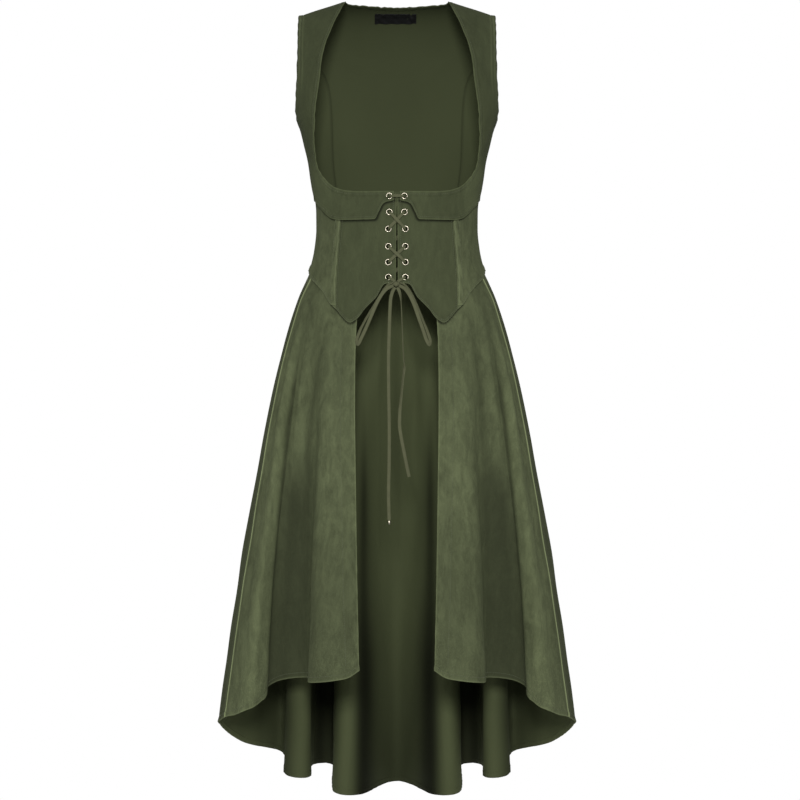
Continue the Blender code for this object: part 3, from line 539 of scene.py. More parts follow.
def back_centre_pattern(across, down):
    share = 2 * across - 1
    edge_level = down_to(0.0, BACK_HEM, down)
    neck = BACK_NECK * np.clip(1 - np.abs(share) * SHOULDER_X / NECK_X, 0, 1) ** 0.5
    level = edge_level + neck * (1 - edge_level / BACK_HEM)
    edge = np.radians(back_edge_angle(edge_level))
    reach = np.sin(edge) ** (2 / squareness_at(root_of(edge_level))) * np.abs(share)
    turn = np.degrees(np.arcsin(np.clip(reach, 0, 1) ** (squareness_at(root_of(level)) / 2)))
    return 180 + turn * np.sign(share), root_of(level)


def back_side_pattern(across, down):
    level = down_to(BACK_SIDE_TOP, BACK_HEM, down)
    armhole = 180 - armhole_angle(level, ARMHOLE_BACK)
    side_edge = np.where(level > ARMHOLE_BOTTOM, armhole, 90.0)
    seam = 180 - back_edge_angle(level)
    return side_edge + (seam - side_edge) * across, root_of(level)


def yoke_edges():
    """Angle and level of the yoke's two edges over its station number."""
    strap = [(station, level) for station, level in enumerate(STRAP_LEVELS)]
    first = len(STRAP_LEVELS)
    inner = [(angle_at(neckline_at(level), level), level) for level in STRAP_LEVELS]
    inner += [(angle_at(row.inner_x, row.inner_level), row.inner_level) for row in YOKE]
    outer = [(angle_at(row.outer_x, row.outer_level), row.outer_level) for row in YOKE]
    armhole_level = smooth_curve(strap + [(first, ARMHOLE_BOTTOM)])
    inner_angle, inner_level = (
        smooth_curve([(k, row[axis]) for k, row in enumerate(inner)]) for axis in (0, 1))
    outer_angle, outer_level = (
        smooth_curve([(first + k, row[axis]) for k, row in enumerate(outer)]) for axis in (0, 1))

    def edges(station):
        on_strap = station < first
        level = np.where(on_strap, armhole_level(station), outer_level(station))
        angle = np.where(on_strap, armhole_angle(level, ARMHOLE_FRONT), outer_angle(station))
        return inner_angle(station), inner_level(station), angle, level

    return edges


yoke_edges_at = yoke_edges()
YOKE_STATIONS = len(STRAP_LEVELS) + len(YOKE) - 1
ARMHOLE_END = len(STRAP_LEVELS) / YOKE_STATIONS        # share down the yoke where the armhole ends
SIDE_ROWS = sum(row.outer_x is SIDE for row in YOKE)
SIDE_SEAM_END = (len(STRAP_LEVELS) + SIDE_ROWS - 1) / YOKE_STATIONS


def yoke_pattern(across, down):
    inner_angle, inner_level, outer_angle, outer_level = yoke_edges_at(down * YOKE_STATIONS)
    angle = inner_angle + (outer_angle - inner_angle) * across
    return angle, root_of(inner_level + (outer_level - inner_level) * across)


def corset_front_pattern(across, down):
    level = CORSET_TOP + (corset_front_bottom_at(across) - CORSET_TOP) * down
    slit = SLIT_TOP + (SLIT_BOTTOM - SLIT_TOP) * down
    x = slit + across * (corset_seam_at(level) - slit)
    return angle_at(x, level), root_of(level)


corset_front_bottom_at = smooth_curve([
    ((point.x - SLIT_BOTTOM) / (corset_seam_at(point.level) - SLIT_BOTTOM), point.level)
    for point in CORSET_FRONT_EDGE])


def corset_side_pattern(across, down):
    top = CORSET_TOP + (CORSET_SIDE_TOP - CORSET_TOP) * across
    level = top + (corset_side_bottom_at(across) - top) * down
    start = angle_at(corset_seam_at(level), level)
    return start + across * (90 - start), root_of(level)


def corset_side_bottom():
    angles = [float(angle_at(point.x, point.level)) for point in CORSET_SIDE_EDGE]
    shares = [(angle - angles[0]) / (90 - angles[0]) for angle in angles]
    return smooth_curve(list(zip(shares, (point.level for point in CORSET_SIDE_EDGE))))


corset_side_bottom_at = corset_side_bottom()


def channel_pattern(across, down):
    level = CHANNEL_UNDER + (CHANNEL_BOTTOM - CHANNEL_UNDER) * down
    x = corset_seam_at(level) + CHANNEL_INSET + across * CHANNEL_WIDTH
    return angle_at(x, level), root_of(level)


def skirt_pattern(first_fold, last_fold):
    def pattern(across, down):
        return first_fold + (last_fold - first_fold) * across, down
    return pattern


# Laying the cloth

# Whether each edge of a panel is free or sewn, as a share from 0, sewn, to 1, free, or a function
# of the shares across and down; an edge that isn't named lies hidden under another panel
Edges = namedtuple("Edges", "first last top bottom", defaults=(None, None, None, None))

# A soft crease: its middle across and down the panel, its tilt from straight down in degrees, its
# half length and half width, and its height, negative for a trough
Crease = namedtuple("Crease", "across down tilt length width height")

# A panel's two skins: its points outside and inside, their shares across and down, how rubbed the
# outside is and the highlights painted on it, the shade painted outside and inside, and how much it is
# ruffled
Skin = namedtuple("Skin", "outer inner across down wear nap lining ruffle")

# A fold line down the skirt: its station at the waist and at the hem, the falls where it starts
# and is full, its width in stations, its height out of the cloth, and its painted shade, light where negative
Line = namedtuple("Line", "waist hem start full width height shade")


def lengths_along(points):
    """Distance from the start of each row of points."""
    steps = np.linalg.norm(np.diff(points, axis=1), axis=-1)
    return np.concatenate((np.zeros((len(points), 1)), np.cumsum(steps, axis=1)), axis=1)


def paced(length, middles):
    """Distances along a run of cloth, close together near both ends and even between."""
    near = np.array(NEAR_EDGE) * min(1.0, length / (3 * NEAR_EDGE[-1]))
    between = np.linspace(near[-1], length - near[-1], middles + 2)[1:-1]
    return np.concatenate((near, between, length - near[::-1]))


def laid_out(surface, pattern, fine, rows):
    """Shares across and down a panel that pace it evenly on the cloth itself, with some more rows."""
    share = np.linspace(0, 1, PACING_POINTS)
    spine = lengths_along(surface(*pattern(np.full(PACING_POINTS, 0.5), share))[None])[0]
    down = np.interp(paced(spine[-1], round(spine[-1] / STEP_DOWN * fine)), spine, share)
    down = np.union1d(down, rows)
    shares, downs = np.broadcast_arrays(share[None], down[:, None])
    runs = lengths_along(surface(*pattern(shares, downs)))
    middles = round(runs[:, -1].mean() / STEP_ROUND * fine ** 0.5)
    across = np.array([np.interp(paced(run[-1], middles), run, share) for run in runs])
    return across, np.broadcast_to(down[:, None], across.shape)


def hem_lift(distance):
    """A turned hem's swell, with the dip along its stitches."""
    swell = HEM_SWELL * faded(HEM_WIDTH - STITCH_SPREAD, HEM_WIDTH + STITCH_SPREAD, distance)
    return swell - STITCH_DIP * bell(distance - HEM_WIDTH, STITCH_SPREAD)


def groove_lift(distance):
    """A pressed seam: a fine groove with the allowances' soft shoulders beside it."""
    shoulder = SHOULDER_HEIGHT * bell(distance - SHOULDER_PLACE, SHOULDER_PLACE)
    return shoulder - GROOVE_DEPTH * bell(distance, GROOVE_WIDTH)


def ridge_lift(distance):
    """A seam whose allowances stand up under it as a fine ridge."""
    return RIDGE_HEIGHT * bell(distance, RIDGE_WIDTH)


def rim_pinch(distance, wall):
    """How much a free edge is rounded off from each side."""
    inside = np.clip(1 - distance / (wall / 2), 0, 1)
    return wall / 2 * (1 - np.sqrt(1 - inside ** 2)) * 0.9


def crease_lift(points, normals, across, down, creases):
    """The soft troughs and ridges of a panel."""
    lift = np.zeros(across.shape)
    for crease in creases:
        row = np.abs(down[:, 0] - crease.down).argmin()
        column = np.abs(across[row] - crease.across).argmin()
        centre, normal = points[row, column], normals[row, column]
        below, above = points[min(row + 2, len(points) - 1), column], points[max(row - 2, 0), column]
        fall = unit(below - above)
        side = np.cross(normal, fall)
        tilt = math.radians(crease.tilt)
        along = fall * math.cos(tilt) + side * math.sin(tilt)
        beside = np.cross(normal, along)
        offset = points - centre
        end = np.clip(1 - (offset @ along / crease.length) ** 2, 0, 1)
        depth = bell(offset @ normal, 3 * crease.width)
        lift += crease.height * end ** 2 * depth * bell(offset @ beside, crease.width)
    return lift


def pressed(points, edge):
    """Painted shadow beside an edge of cloth that rests on it."""
    near = np.full(points.shape[:-1], 1.0)
    for spot in edge:
        near = np.minimum(near, np.linalg.norm(points - spot, axis=-1))
    return PAINTED_EDGE_SHADOW * bell(np.maximum(near - EDGE_SHADOW_START, 0), EDGE_SHADOW_WIDTH)


def free_share(free, across, down):
    return free(across, down) if callable(free) else np.full(across.shape, float(free))


def plain(across, down):
    """A panel with no lift and no painted shade of its own."""
    return np.zeros(across.shape), np.zeros(across.shape)


def lay(surface, pattern, edges, lift=None, wall=WALL, creases=(), seam=groove_lift, waves=0.0004,
        dressing=plain, inside=plain, facing=None, over=(), fine=1.0, rows=()):
    """Both skins of a panel of cloth, with its hems, seams and creases. The dressings lift it and
    paint shade or light on it, and over is the edge of a panel that rests on it, with a painted shadow beside
    it."""
    across, down = laid_out(surface, pattern, fine, rows)
    place = pattern(across, down)
    stand = lift(*place) if lift else np.zeros(across.shape)
    points = lifted(surface, *place, stand)
    normals = (lifted(surface, *place, stand + NUDGE) - points) / NUDGE
    run, fall = lengths_along(points), np.swapaxes(lengths_along(np.swapaxes(points, 0, 1)), 0, 1)
    distances = Edges(run, run[:, -1:] - run, fall, fall[-1:] - fall)
    outward = crease_lift(points, normals, across, down, creases) + waves * unevenness(points)
    extra, nap = dressing(across, down)
    outward += extra
    # painted light where a dressing's shade is negative
    wear = np.maximum(0.0, -nap) * LIT_NAP
    # painted shadow beside the edge of the panel that lies over this one
    nap = np.maximum(nap, pressed(points, over))
    ruffle = bell(distances.bottom, RUFFLE_REACH) * (seam is ridge_lift)
    # painted shade on the inside, from the inside dressing
    lining = inside(across, down)[1]
    if facing:
        outward += FACING_STEP * faded(facing - NUDGE, facing + NUDGE, run)
        outward -= FACING_DIP * bell(run - facing, FACING_DIP_WIDTH)
    pinch, turning = np.zeros(across.shape), np.zeros(across.shape)
    for free, distance in zip(edges, distances):
        if free is None:
            continue
        share = free_share(free, across, down)
        outward += share * hem_lift(distance) + (1 - share) * seam(distance)
        pulled = share * bell(distance, PUCKER_REACH) * unevenness(points * PUCKER_PACE)
        outward += PUCKER * pulled
        # painted shade with the hem's puckers
        nap = np.maximum(nap, PUCKER_PAINTED_SHADE * pulled)
        pinch = np.maximum(pinch, share * rim_pinch(distance, wall))
        turning = np.maximum(turning, share * TURNING * (distance < HEM_WIDTH))
        # hems are rubbed paler, and a highlight is painted along each ridged seam of the skirt
        brushed = HEM_WEAR * share + (1 - share) * (seam is ridge_lift)
        wear = np.maximum(wear, brushed * bell(distance, WEAR_AND_HIGHLIGHT_WIDTH))
        # painted shade along a seam's groove on the inside
        lining = np.maximum(lining, (1 - share) * SEAM_PAINTED_SHADE * bell(distance, SEAM_SOFTNESS))
    outer = points + normals * (outward - pinch)[..., None]
    inner = points + normals * (outward + pinch - wall - turning * (pinch == 0))[..., None]
    return Skin(outer, inner, across, down, wear, nap, lining, ruffle)


def unevenness(points):
    """Slow hand-made waves in the cloth, from -1 to 1."""
    x, y, z = points[..., 0], points[..., 1], points[..., 2]
    return (np.sin(61 * x + 23 * z + 1.3) * np.sin(47 * z - 31 * y + 0.4)
            + np.sin(113 * x - 19 * y + 2.1) * np.sin(29 * z + 71 * y)) / 2


def cloth_mesh(name, skin, side):
    """One closed shell of cloth, its outside in the first material and its inside in the second."""
    rows, columns = skin.across.shape
    count = rows * columns
    points = np.concatenate((skin.outer.reshape(-1, 3), skin.inner.reshape(-1, 3))) * (side, 1, 1)
    number = np.arange(count).reshape(rows, columns)
    corners = (number[:-1, :-1], number[1:, :-1], number[1:, 1:], number[:-1, 1:])
    quads = np.stack(corners, axis=-1).reshape(-1, 4)
    rim = np.concatenate((number[:, 0], number[-1, 1:], number[-2::-1, -1], number[0, -2:0:-1]))
    after = np.roll(rim, -1)
    band = np.stack((rim, rim + count, after + count, after), axis=-1)
    faces = np.concatenate((quads, quads[:, ::-1] + count, band))
    if side < 0:
        faces = faces[:, ::-1]
    mesh = new_mesh(name, points.tolist(), faces.tolist(), sharp=50)
    inside = np.zeros(len(faces), int)
    inside[len(quads):2 * len(quads)] = 1
    mesh.polygons.foreach_set("material_index", inside)
    # the outside's rubbed edges and painted highlights, and the shade painted on the outside and inside
    for attribute, outside, inside in (("wear", skin.wear, skin.wear * 0), ("nap", skin.nap, skin.lining),
                                       ("ruffle", skin.ruffle, skin.ruffle * 0)):
        values = np.concatenate((outside.ravel(), inside.ravel()))
        mesh.attributes.new(attribute, "FLOAT", "POINT").data.foreach_set("value", values)
    return mesh


def new_mesh(name, points, faces=(), edges=(), sharp=None):
    """A smooth mesh, with its edges kept sharp past an angle in degrees."""
    mesh = bpy.data.meshes.new(name)
    mesh.from_pydata(points, edges, faces)
    mesh.shade_smooth()
    if sharp:
        mesh.set_sharp_from_angle(angle=math.radians(sharp))
    return mesh


def new_object(name, data):
    obj = bpy.data.objects.new(name, data)
    bpy.context.scene.collection.objects.link(obj)
    return obj


def put(name, data, finishes, slot, *nodes):
    """A piece of the gown: it rides on the one body, and stands for the nodes that it replaces."""
    obj = new_object(name, data)
    for finish in finishes:
        data.materials.append(finish_material(finish))
    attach(obj, "root")
    if nodes:
        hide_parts(*nodes)
    return obj


def put_cloth(name, skin, side=1, finishes=BODICE_FINISHES, slot="suede"):
    """A panel in the place of its node, with the size of its cut printed."""
    panel = put(f"cloth_{name}", cloth_mesh(name, skin, side), finishes, slot, name)
    rows, columns = lengths_along(skin.outer), lengths_along(np.swapaxes(skin.outer, 0, 1))
    edge = skin.outer[:-1, 1:] - skin.outer[:-1, :-1]
    area = np.linalg.norm(np.cross(edge, skin.outer[1:, :-1] - skin.outer[:-1, :-1]), axis=-1).sum()
    width, length = float(rows[:, -1].max()), float(columns[:, -1].max())
    area = min(float(area), width * length)
    print(f"cut {name}: {width:.3f} x {length:.3f} m, {area:.4f} square metres")
    return panel


def run_beside(skin, edge, inset, start=0.0, end=1.0):
    """Points of the outside that lie an inset from one edge, each with its outward direction."""
    outer, inner, share = skin.outer, skin.inner, skin.down[:, 0]
    if edge in ("top", "bottom"):
        outer, inner = (np.swapaxes(grid, 0, 1) for grid in (outer, inner))
        share = skin.across[len(skin.across) // 2]
    if edge in ("last", "bottom"):
        outer, inner = outer[:, ::-1], inner[:, ::-1]
    chosen = (share >= start) & (share <= end)
    outer, inner = outer[chosen], inner[chosen]
    distance = lengths_along(outer)
    keep = distance[:, -1] > 2 * inset
    rows = [[np.interp(inset, run, grid[k, :, axis]) for axis in range(3)]
            for grid in (outer, inner) for k, run in enumerate(distance) if keep[k]]
    points, under = np.array(rows).reshape(2, -1, 3)
    return points, unit(points - under)


def tube_faces(rings, sides):
    """Faces of a tube whose points run ring by ring."""
    return [(ring * sides + k, ring * sides + (k + 1) % sides,
             (ring + 1) * sides + (k + 1) % sides, (ring + 1) * sides + k)
            for ring in range(rings - 1) for k in range(sides)]


def stitch_shape(sides=5):
    """A stitch's points round its line, as shares of its length and thread, and its faces."""
    rings = ((-0.5, 0.0), (-0.36, 0.85), (0.0, 1.0), (0.36, 0.85), (0.5, 0.0))
    points = [(along, width * math.cos(math.tau * k / sides), width * math.sin(math.tau * k / sides))
              for along, width in rings[1:-1] for k in range(sides)]
    faces = tube_faces(len(rings) - 2, sides)
    points += [(rings[0][0], 0, 0), (rings[-1][0], 0, 0)]
    tips = len(points) - 2
    ends = [(tips, (k + 1) % sides, k) for k in range(sides)]
    ends += [(tips + 1, tips - sides + k, tips - sides + (k + 1) % sides) for k in range(sides)]
    return np.array(points), faces + ends


STITCH_POINTS, STITCH_FACES = stitch_shape()


def put_stitches(name, skin, runs, side=1):
    """Rows of raised stitches along runs beside a panel's edges, each given as run_beside takes it."""
    points, faces = [], []
    for run in runs:
        line, outwards = run_beside(skin, *run)
        distance = lengths_along(line[None])[0]
        count = int(distance[-1] / STITCH_PITCH)
        at = (np.arange(count) + 0.5) * STITCH_PITCH
        middle, before, after, out = (
            np.stack([np.interp(place, distance, values[:, axis]) for axis in range(3)], axis=1)
            for place, values in ((at, line), (at - NUDGE, line), (at + NUDGE, line), (at, outwards)))
        along = unit(after - before)
        beside = np.cross(out, along)
        middle = middle + out * THREAD_RADIUS * THREAD_RISE
        shape = (middle[:, None] + along[:, None] * STITCH_POINTS[None, :, :1] * STITCH_LENGTH
                 + beside[:, None] * STITCH_POINTS[None, :, 1:2] * THREAD_RADIUS * THREAD_SPREAD
                 + out[:, None] * STITCH_POINTS[None, :, 2:] * THREAD_RADIUS)
        for stitch in shape:
            base = len(points)
            points.extend((stitch * (side, 1, 1)).tolist())
            faces.extend([tuple(base + k for k in face[::side]) for face in STITCH_FACES])
    return put(name, new_mesh(name, points, faces), ("thread",), "suede")


def put_sewn(name, skin, runs, side=1, finishes=BODICE_FINISHES):
    """A panel with its rows of stitches."""
    stitches = put_stitches(f"stitch_{name}", skin, runs, side)
    return put_cloth(name, skin, side, finishes)


# Finishes

class Value:
    """A socket in a material's tree. Sums of these add the Math nodes that work them out."""

    def __init__(self, tree, socket):
        self.tree = tree
        self.socket = socket

    def worked(self, operation, first, second):
        return self.tree.node("ShaderNodeMath", {"operation": operation}, {0: first, 1: second})

    def __add__(self, other):
        return self.worked("ADD", self, other)

    def __sub__(self, other):
        return self.worked("SUBTRACT", self, other)

    def __rsub__(self, other):
        return self.worked("SUBTRACT", other, self)

    def __mul__(self, other):
        return self.worked("MULTIPLY", self, other)

    __radd__ = __add__
    __rmul__ = __mul__


class Finish:
    """A new material with one Principled shader, and the nodes that vary its surface."""

    def __init__(self, name, roughness, **constants):
        self.material = bpy.data.materials.new(name)
        self.material.use_nodes = True
        self.nodes = self.material.node_tree.nodes
        self.links = self.material.node_tree.links
        self.shader = self.nodes["Principled BSDF"]
        self.set("Roughness", roughness)
        for socket, value in constants.items():
            self.set(socket.replace("_", " "), value)

    def set(self, name, value):
        """Link or set one of the shader's sockets."""
        self.feed(self.shader.inputs[name], value)

    def feed(self, socket, value):
        if isinstance(value, Value):
            self.links.new(value.socket, socket)
        else:
            socket.default_value = value

    def node(self, kind, settings=None, values=None, output=0):
        """A node with its settings made first and then its sockets' values or links."""
        node = self.nodes.new(kind)
        for name, setting in (settings or {}).items():
            if name == "stops":
                stops = node.color_ramp.elements
                for stop, (place, grey) in zip((*stops, *(stops.new(0.5) for _ in setting[2:])), setting):
                    stop.position = place
                    stop.color = (grey, grey, grey, 1.0)
            else:
                setattr(node, name, setting)
        for name, value in (values or {}).items():
            self.feed(node.inputs[name], value)
        return Value(self, node.outputs[output])

    def place(self, stretch=(1.0, 1.0, 1.0)):
        """The surface's own place in metres, stretched."""
        place = self.node("ShaderNodeTexCoord", output="Object")
        return self.node("ShaderNodeVectorMath", {"operation": "MULTIPLY"}, {0: place, 1: stretch})

    def noise(self, place, scale, detail=3.0, roughness=0.5, distortion=0.0):
        return self.node("ShaderNodeTexNoise", values={
            "Vector": place, "Scale": scale, "Detail": detail, "Roughness": roughness,
            "Distortion": distortion})

    def ramp(self, value, *stops):
        return self.node("ShaderNodeValToRGB", {"stops": stops}, {0: value})

    def mixed(self, share, first, second):
        return self.node("ShaderNodeMix", {"data_type": "RGBA"}, {0: share, 6: first, 7: second}, output=2)

    def painted(self, name):
        """A value that the cloth's mesh carries, such as its rubbed edges and painted highlights."""
        return self.node("ShaderNodeAttribute", {"attribute_name": name}, output=2)

    def bump(self, height, strength, distance):
        self.set("Normal", self.node("ShaderNodeBump", values={
            "Height": height, "Strength": strength, "Distance": distance}))


def colour(value, share=1.0):
    """A property's colour as a socket takes it, darkened or lightened by a share."""
    return (*(channel * share for channel in value), 1.0)


def brushed_suede(name, tone, contrast):
    """The suede's outside: a short nap brushed in strokes and clouds, curls near the hem, and painted shade
    and light.
    """
    finish = Finish(name, 0.92, Sheen_Weight=0.10, Sheen_Roughness=0.45,
                    Sheen_Tint=colour(tone, 4.0), Specular_IOR_Level=0.15)
    streaked = finish.place((1.0, 1.0, 0.28))
    clouds = finish.noise(streaked, 26.0, 4.0, 0.55, 0.5)
    strokes = finish.ramp(finish.noise(streaked, 95.0, 4.0, 0.6, 1.2), (0.34, 0.0), (0.66, 1.0))
    patches = finish.ramp(finish.noise(finish.place((1.0, 1.0, 0.45)), 44.0, 4.0, 0.6, 1.0),
                          (0.42, 0.0), (0.60, 1.0))
    marks = finish.noise(finish.place((1.0, 1.0, 0.6)), 210.0, 5.0, 0.7, 2.2)
    nap = finish.noise(finish.place(), 1500.0, 2.0, 0.6)
    scuffs = finish.ramp(marks, (0.52, 0.0), (0.66, 1.0))
    worn = finish.ramp(clouds, (0.34, 0.0), (0.72, 1.0))
    ruffled = finish.painted("ruffle")
    curls = finish.noise(finish.place((1.0, 1.0, 0.6)), 105.0, 4.0, 0.62, 1.6)
    curled = finish.ramp(finish.node("ShaderNodeMath", {"operation": "ABSOLUTE"}, {0: curls - 0.5}),
                         (0.0, 1.0), (0.035, 0.0))
    shade = worn * 0.22 + patches * 0.20 + strokes * 0.20 + nap * 0.20 + scuffs * 0.14
    shade += curled * (0.12 + ruffled * 0.34)
    brushed = finish.mixed(shade, colour(tone, 1 - 0.50 * contrast), colour(tone, 1 + 0.60 * contrast))
    # painted shade that the mesh carries
    painted_shade = finish.painted("nap")
    laid = finish.mixed(painted_shade * (0.95 + curled * 0.10), brushed, colour(tone, 0.31))
    # rubbed edges and painted highlights that the mesh carries
    rubbed = finish.painted("wear")
    finish.set("Base Color", finish.mixed(rubbed * 0.9, laid, colour(tone, 3.6)))
    height = nap * 0.35 + strokes * 0.5 + scuffs * 0.4 + curled * (0.4 + ruffled)
    finish.bump(height, 0.4, 0.0008)
    return finish


def smooth_suede(name, tone):
    """The suede's inside: a fine even knit, with shade painted in its seams and folds and at the back's top.
    """
    finish = Finish(name, 0.9, Sheen_Weight=0.05, Sheen_Roughness=0.5, Sheen_Tint=colour(tone, 4.0),
                    Specular_IOR_Level=0.1)
    place = finish.place()
    knit = finish.noise(place, 1100.0, 2.0, 0.5)
    broad = finish.noise(finish.place((1.0, 1.0, 0.3)), 14.0, 3.0, 0.5)
    shade = broad * 0.5 + knit * 0.5
    even = finish.mixed(shade, colour(tone, 0.86), colour(tone, 1.14))
    # painted shade that the mesh carries
    finish.set("Base Color", finish.mixed(finish.painted("nap"), even, colour(tone, 0.06)))
    finish.bump(knit, 0.2, 0.0003)
    return finish


def twisted_thread(name, tone):
    finish = Finish(name, 0.6, Sheen_Weight=0.1)
    twist = finish.noise(finish.place(), 2600.0, 2.0)
    finish.set("Base Color", finish.mixed(twist, colour(tone, 0.8), colour(tone, 1.2)))
    finish.bump(twist, 0.4, 0.0001)
    return finish


def lace_suede(name, tone):
    """The flat lace: the same suede, cut narrow, with a finer nap."""
    finish = Finish(name, 0.88, Sheen_Weight=0.25, Sheen_Roughness=0.4, Sheen_Tint=colour(tone, 4.0),
                    Specular_IOR_Level=0.15)
    nap = finish.noise(finish.place(), 1300.0, 3.0, 0.6)
    patches = finish.noise(finish.place(), 90.0, 3.0, 0.6, 0.6)
    finish.set("Base Color", finish.mixed(nap * 0.5 + patches * 0.5, colour(tone, 0.66), colour(tone, 1.36)))
    finish.bump(nap * 0.6 + patches * 0.4, 0.4, 0.0005)
    return finish


def worn_brass(name, tone, bore_shade):
    """Pale brass with darker metal left in patches, and shade painted in an eyelet's bore and under its
    rim by the share given."""
    finish = Finish(name, 0.3, Metallic=1.0)
    tarnish = finish.ramp(finish.noise(finish.place(), 420.0, 4.0, 0.6), (0.42, 0.0), (0.68, 1.0))
    scuffs = finish.noise(finish.place(), 3200.0, 3.0, 0.6)
    centimetres = finish.place((100.0, 100.0, 0.0))
    reach = finish.node("ShaderNodeVectorMath", {"operation": "LENGTH"}, {0: centimetres}, output=1)
    ring = finish.ramp(reach, (0.35, 1.0), (0.38, 0.0), (0.485, 0.0), (0.52, 1.0))
    rubbed = finish.mixed(tarnish, colour(tone), colour(tone, 0.45))
    # painted shade in the bore and under the rim
    finish.set("Base Color", finish.mixed(ring * bore_shade, rubbed, colour(tone, 0.10)))
    finish.set("Roughness", 0.24 + tarnish * 0.2 + scuffs * 0.08)
    finish.bump(scuffs, 0.15, 0.0001)
    return finish


def label_weave(name, tone):
    """Black woven label, blank, with the fine ribs of its weave."""
    finish = Finish(name, 0.7, Specular_IOR_Level=0.2)
    ribs = finish.node("ShaderNodeTexWave", {"bands_direction": "X"}, {
        "Vector": finish.place(), "Scale": 700.0, "Distortion": 0.6, "Detail": 1.0}, output=1)
    finish.set("Base Color", finish.mixed(ribs, colour(tone, 0.7), colour(tone, 2.2)))
    finish.bump(ribs, 0.3, 0.0002)
    return finish


def studio_paper(name, tone):
    finish = Finish(name, 0.9)
    grain = finish.noise(finish.place(), 3.0, 2.0)
    finish.set("Base Color", finish.mixed(grain, colour(tone, 0.88), colour(tone, 0.93)))
    return finish


# Each finish's maker, its colour among the gown's settings, and what else the maker takes
FINISHES = {
    "suede": (brushed_suede, "bodice", 0.5),
    "suede_skirt": (brushed_suede, "skirt", 1.0),
    "suede_inside": (smooth_suede, "inside"),
    "skirt_inside": (smooth_suede, "skirt_inside"),
    "thread": (twisted_thread, "thread"),
    "lace_suede": (lace_suede, "lace"),
    "eyelet_brass": (worn_brass, "brass", 0.85),
    "antique_brass": (worn_brass, "brass", 0.0),
    "label_weave": (label_weave, "label"),
    "studio_paper": (studio_paper, "paper"),
}


def finish_material(name):
    """A finish's material, made when it is first asked for."""
    made = bpy.data.materials.get(f"finish_{name}")
    if made:
        return made
    make, tone, *more = FINISHES[name]
    return make(f"finish_{name}", getattr(bpy.context.scene.gown_colours, tone), *more).material


# Bodice and skirt

BACK_CREASES = (
    Crease(0.30, 0.84, 58, 0.060, 0.0090, 0.0016),
    Crease(0.34, 0.90, 66, 0.050, 0.0080, -0.0014),
    Crease(0.68, 0.82, -60, 0.055, 0.0085, 0.0015),
    Crease(0.66, 0.89, -52, 0.050, 0.0090, -0.0012),
    Crease(0.22, 0.45, 18, 0.070, 0.0130, -0.0016),
    Crease(0.79, 0.43, -14, 0.080, 0.0120, -0.0015),
)
BACK_SIDE_CREASES = (
    Crease(0.45, 0.80, 70, 0.030, 0.0070, 0.0012),
    Crease(0.55, 0.88, 78, 0.034, 0.0070, -0.0012),
)
YOKE_CREASES = (
    Crease(0.50, 0.30, 8, 0.060, 0.0100, -0.0014),
    Crease(0.55, 0.47, -16, 0.050, 0.0110, -0.0016),
    Crease(0.35, 0.56, -8, 0.040, 0.0080, 0.0012),
    Crease(0.55, 0.80, 70, 0.022, 0.0060, -0.0008),
)
CORSET_FRONT_CREASES = (
    Crease(0.72, 0.30, 84, 0.028, 0.0060, -0.0006),
    Crease(0.55, 0.52, 94, 0.034, 0.0070, 0.0006),
    Crease(0.66, 0.72, 64, 0.024, 0.0060, -0.0006),
)
CORSET_SIDE_CREASES = (
    Crease(0.62, 0.28, 84, 0.028, 0.0060, -0.0008),
    Crease(0.55, 0.46, 78, 0.030, 0.0060, 0.0009),
    Crease(0.70, 0.62, 96, 0.024, 0.0060, -0.0008),
)
SKIRT_FRONT_CREASES = (
    Crease(0.22, 0.16, 2, 0.090, 0.0080, -0.0016),
    Crease(0.38, 0.20, -3, 0.120, 0.0090, 0.0020),
    Crease(0.50, 0.26, 2, 0.150, 0.0100, -0.0024),
    Crease(0.62, 0.18, -2, 0.110, 0.0080, 0.0018),
    Crease(0.72, 0.34, 3, 0.160, 0.0120, -0.0026),
    Crease(0.86, 0.30, 0, 0.140, 0.0100, 0.0018),
    Crease(0.30, 0.66, 2, 0.110, 0.0140, 0.0016),
    Crease(0.90, 0.86, 4, 0.060, 0.0110, -0.0018),
)
SKIRT_SIDE_CREASES = (
    Crease(0.12, 0.16, 0, 0.100, 0.0090, -0.0018),
    Crease(0.28, 0.24, 3, 0.140, 0.0110, 0.0022),
    Crease(0.44, 0.18, -3, 0.110, 0.0100, -0.0020),
    Crease(0.18, 0.60, 2, 0.160, 0.0150, 0.0020),
    Crease(0.36, 0.72, -2, 0.140, 0.0150, -0.0024),
)
SKIRT_BACK_CREASES = (
    Crease(0.30, 0.14, 2, 0.090, 0.0090, -0.0018),
    Crease(0.44, 0.20, -2, 0.130, 0.0100, 0.0018),
    Crease(0.57, 0.17, 2, 0.110, 0.0100, -0.0018),
    Crease(0.70, 0.13, -3, 0.090, 0.0090, 0.0018),
    Crease(0.50, 0.66, 1, 0.150, 0.0160, 0.0018),
)
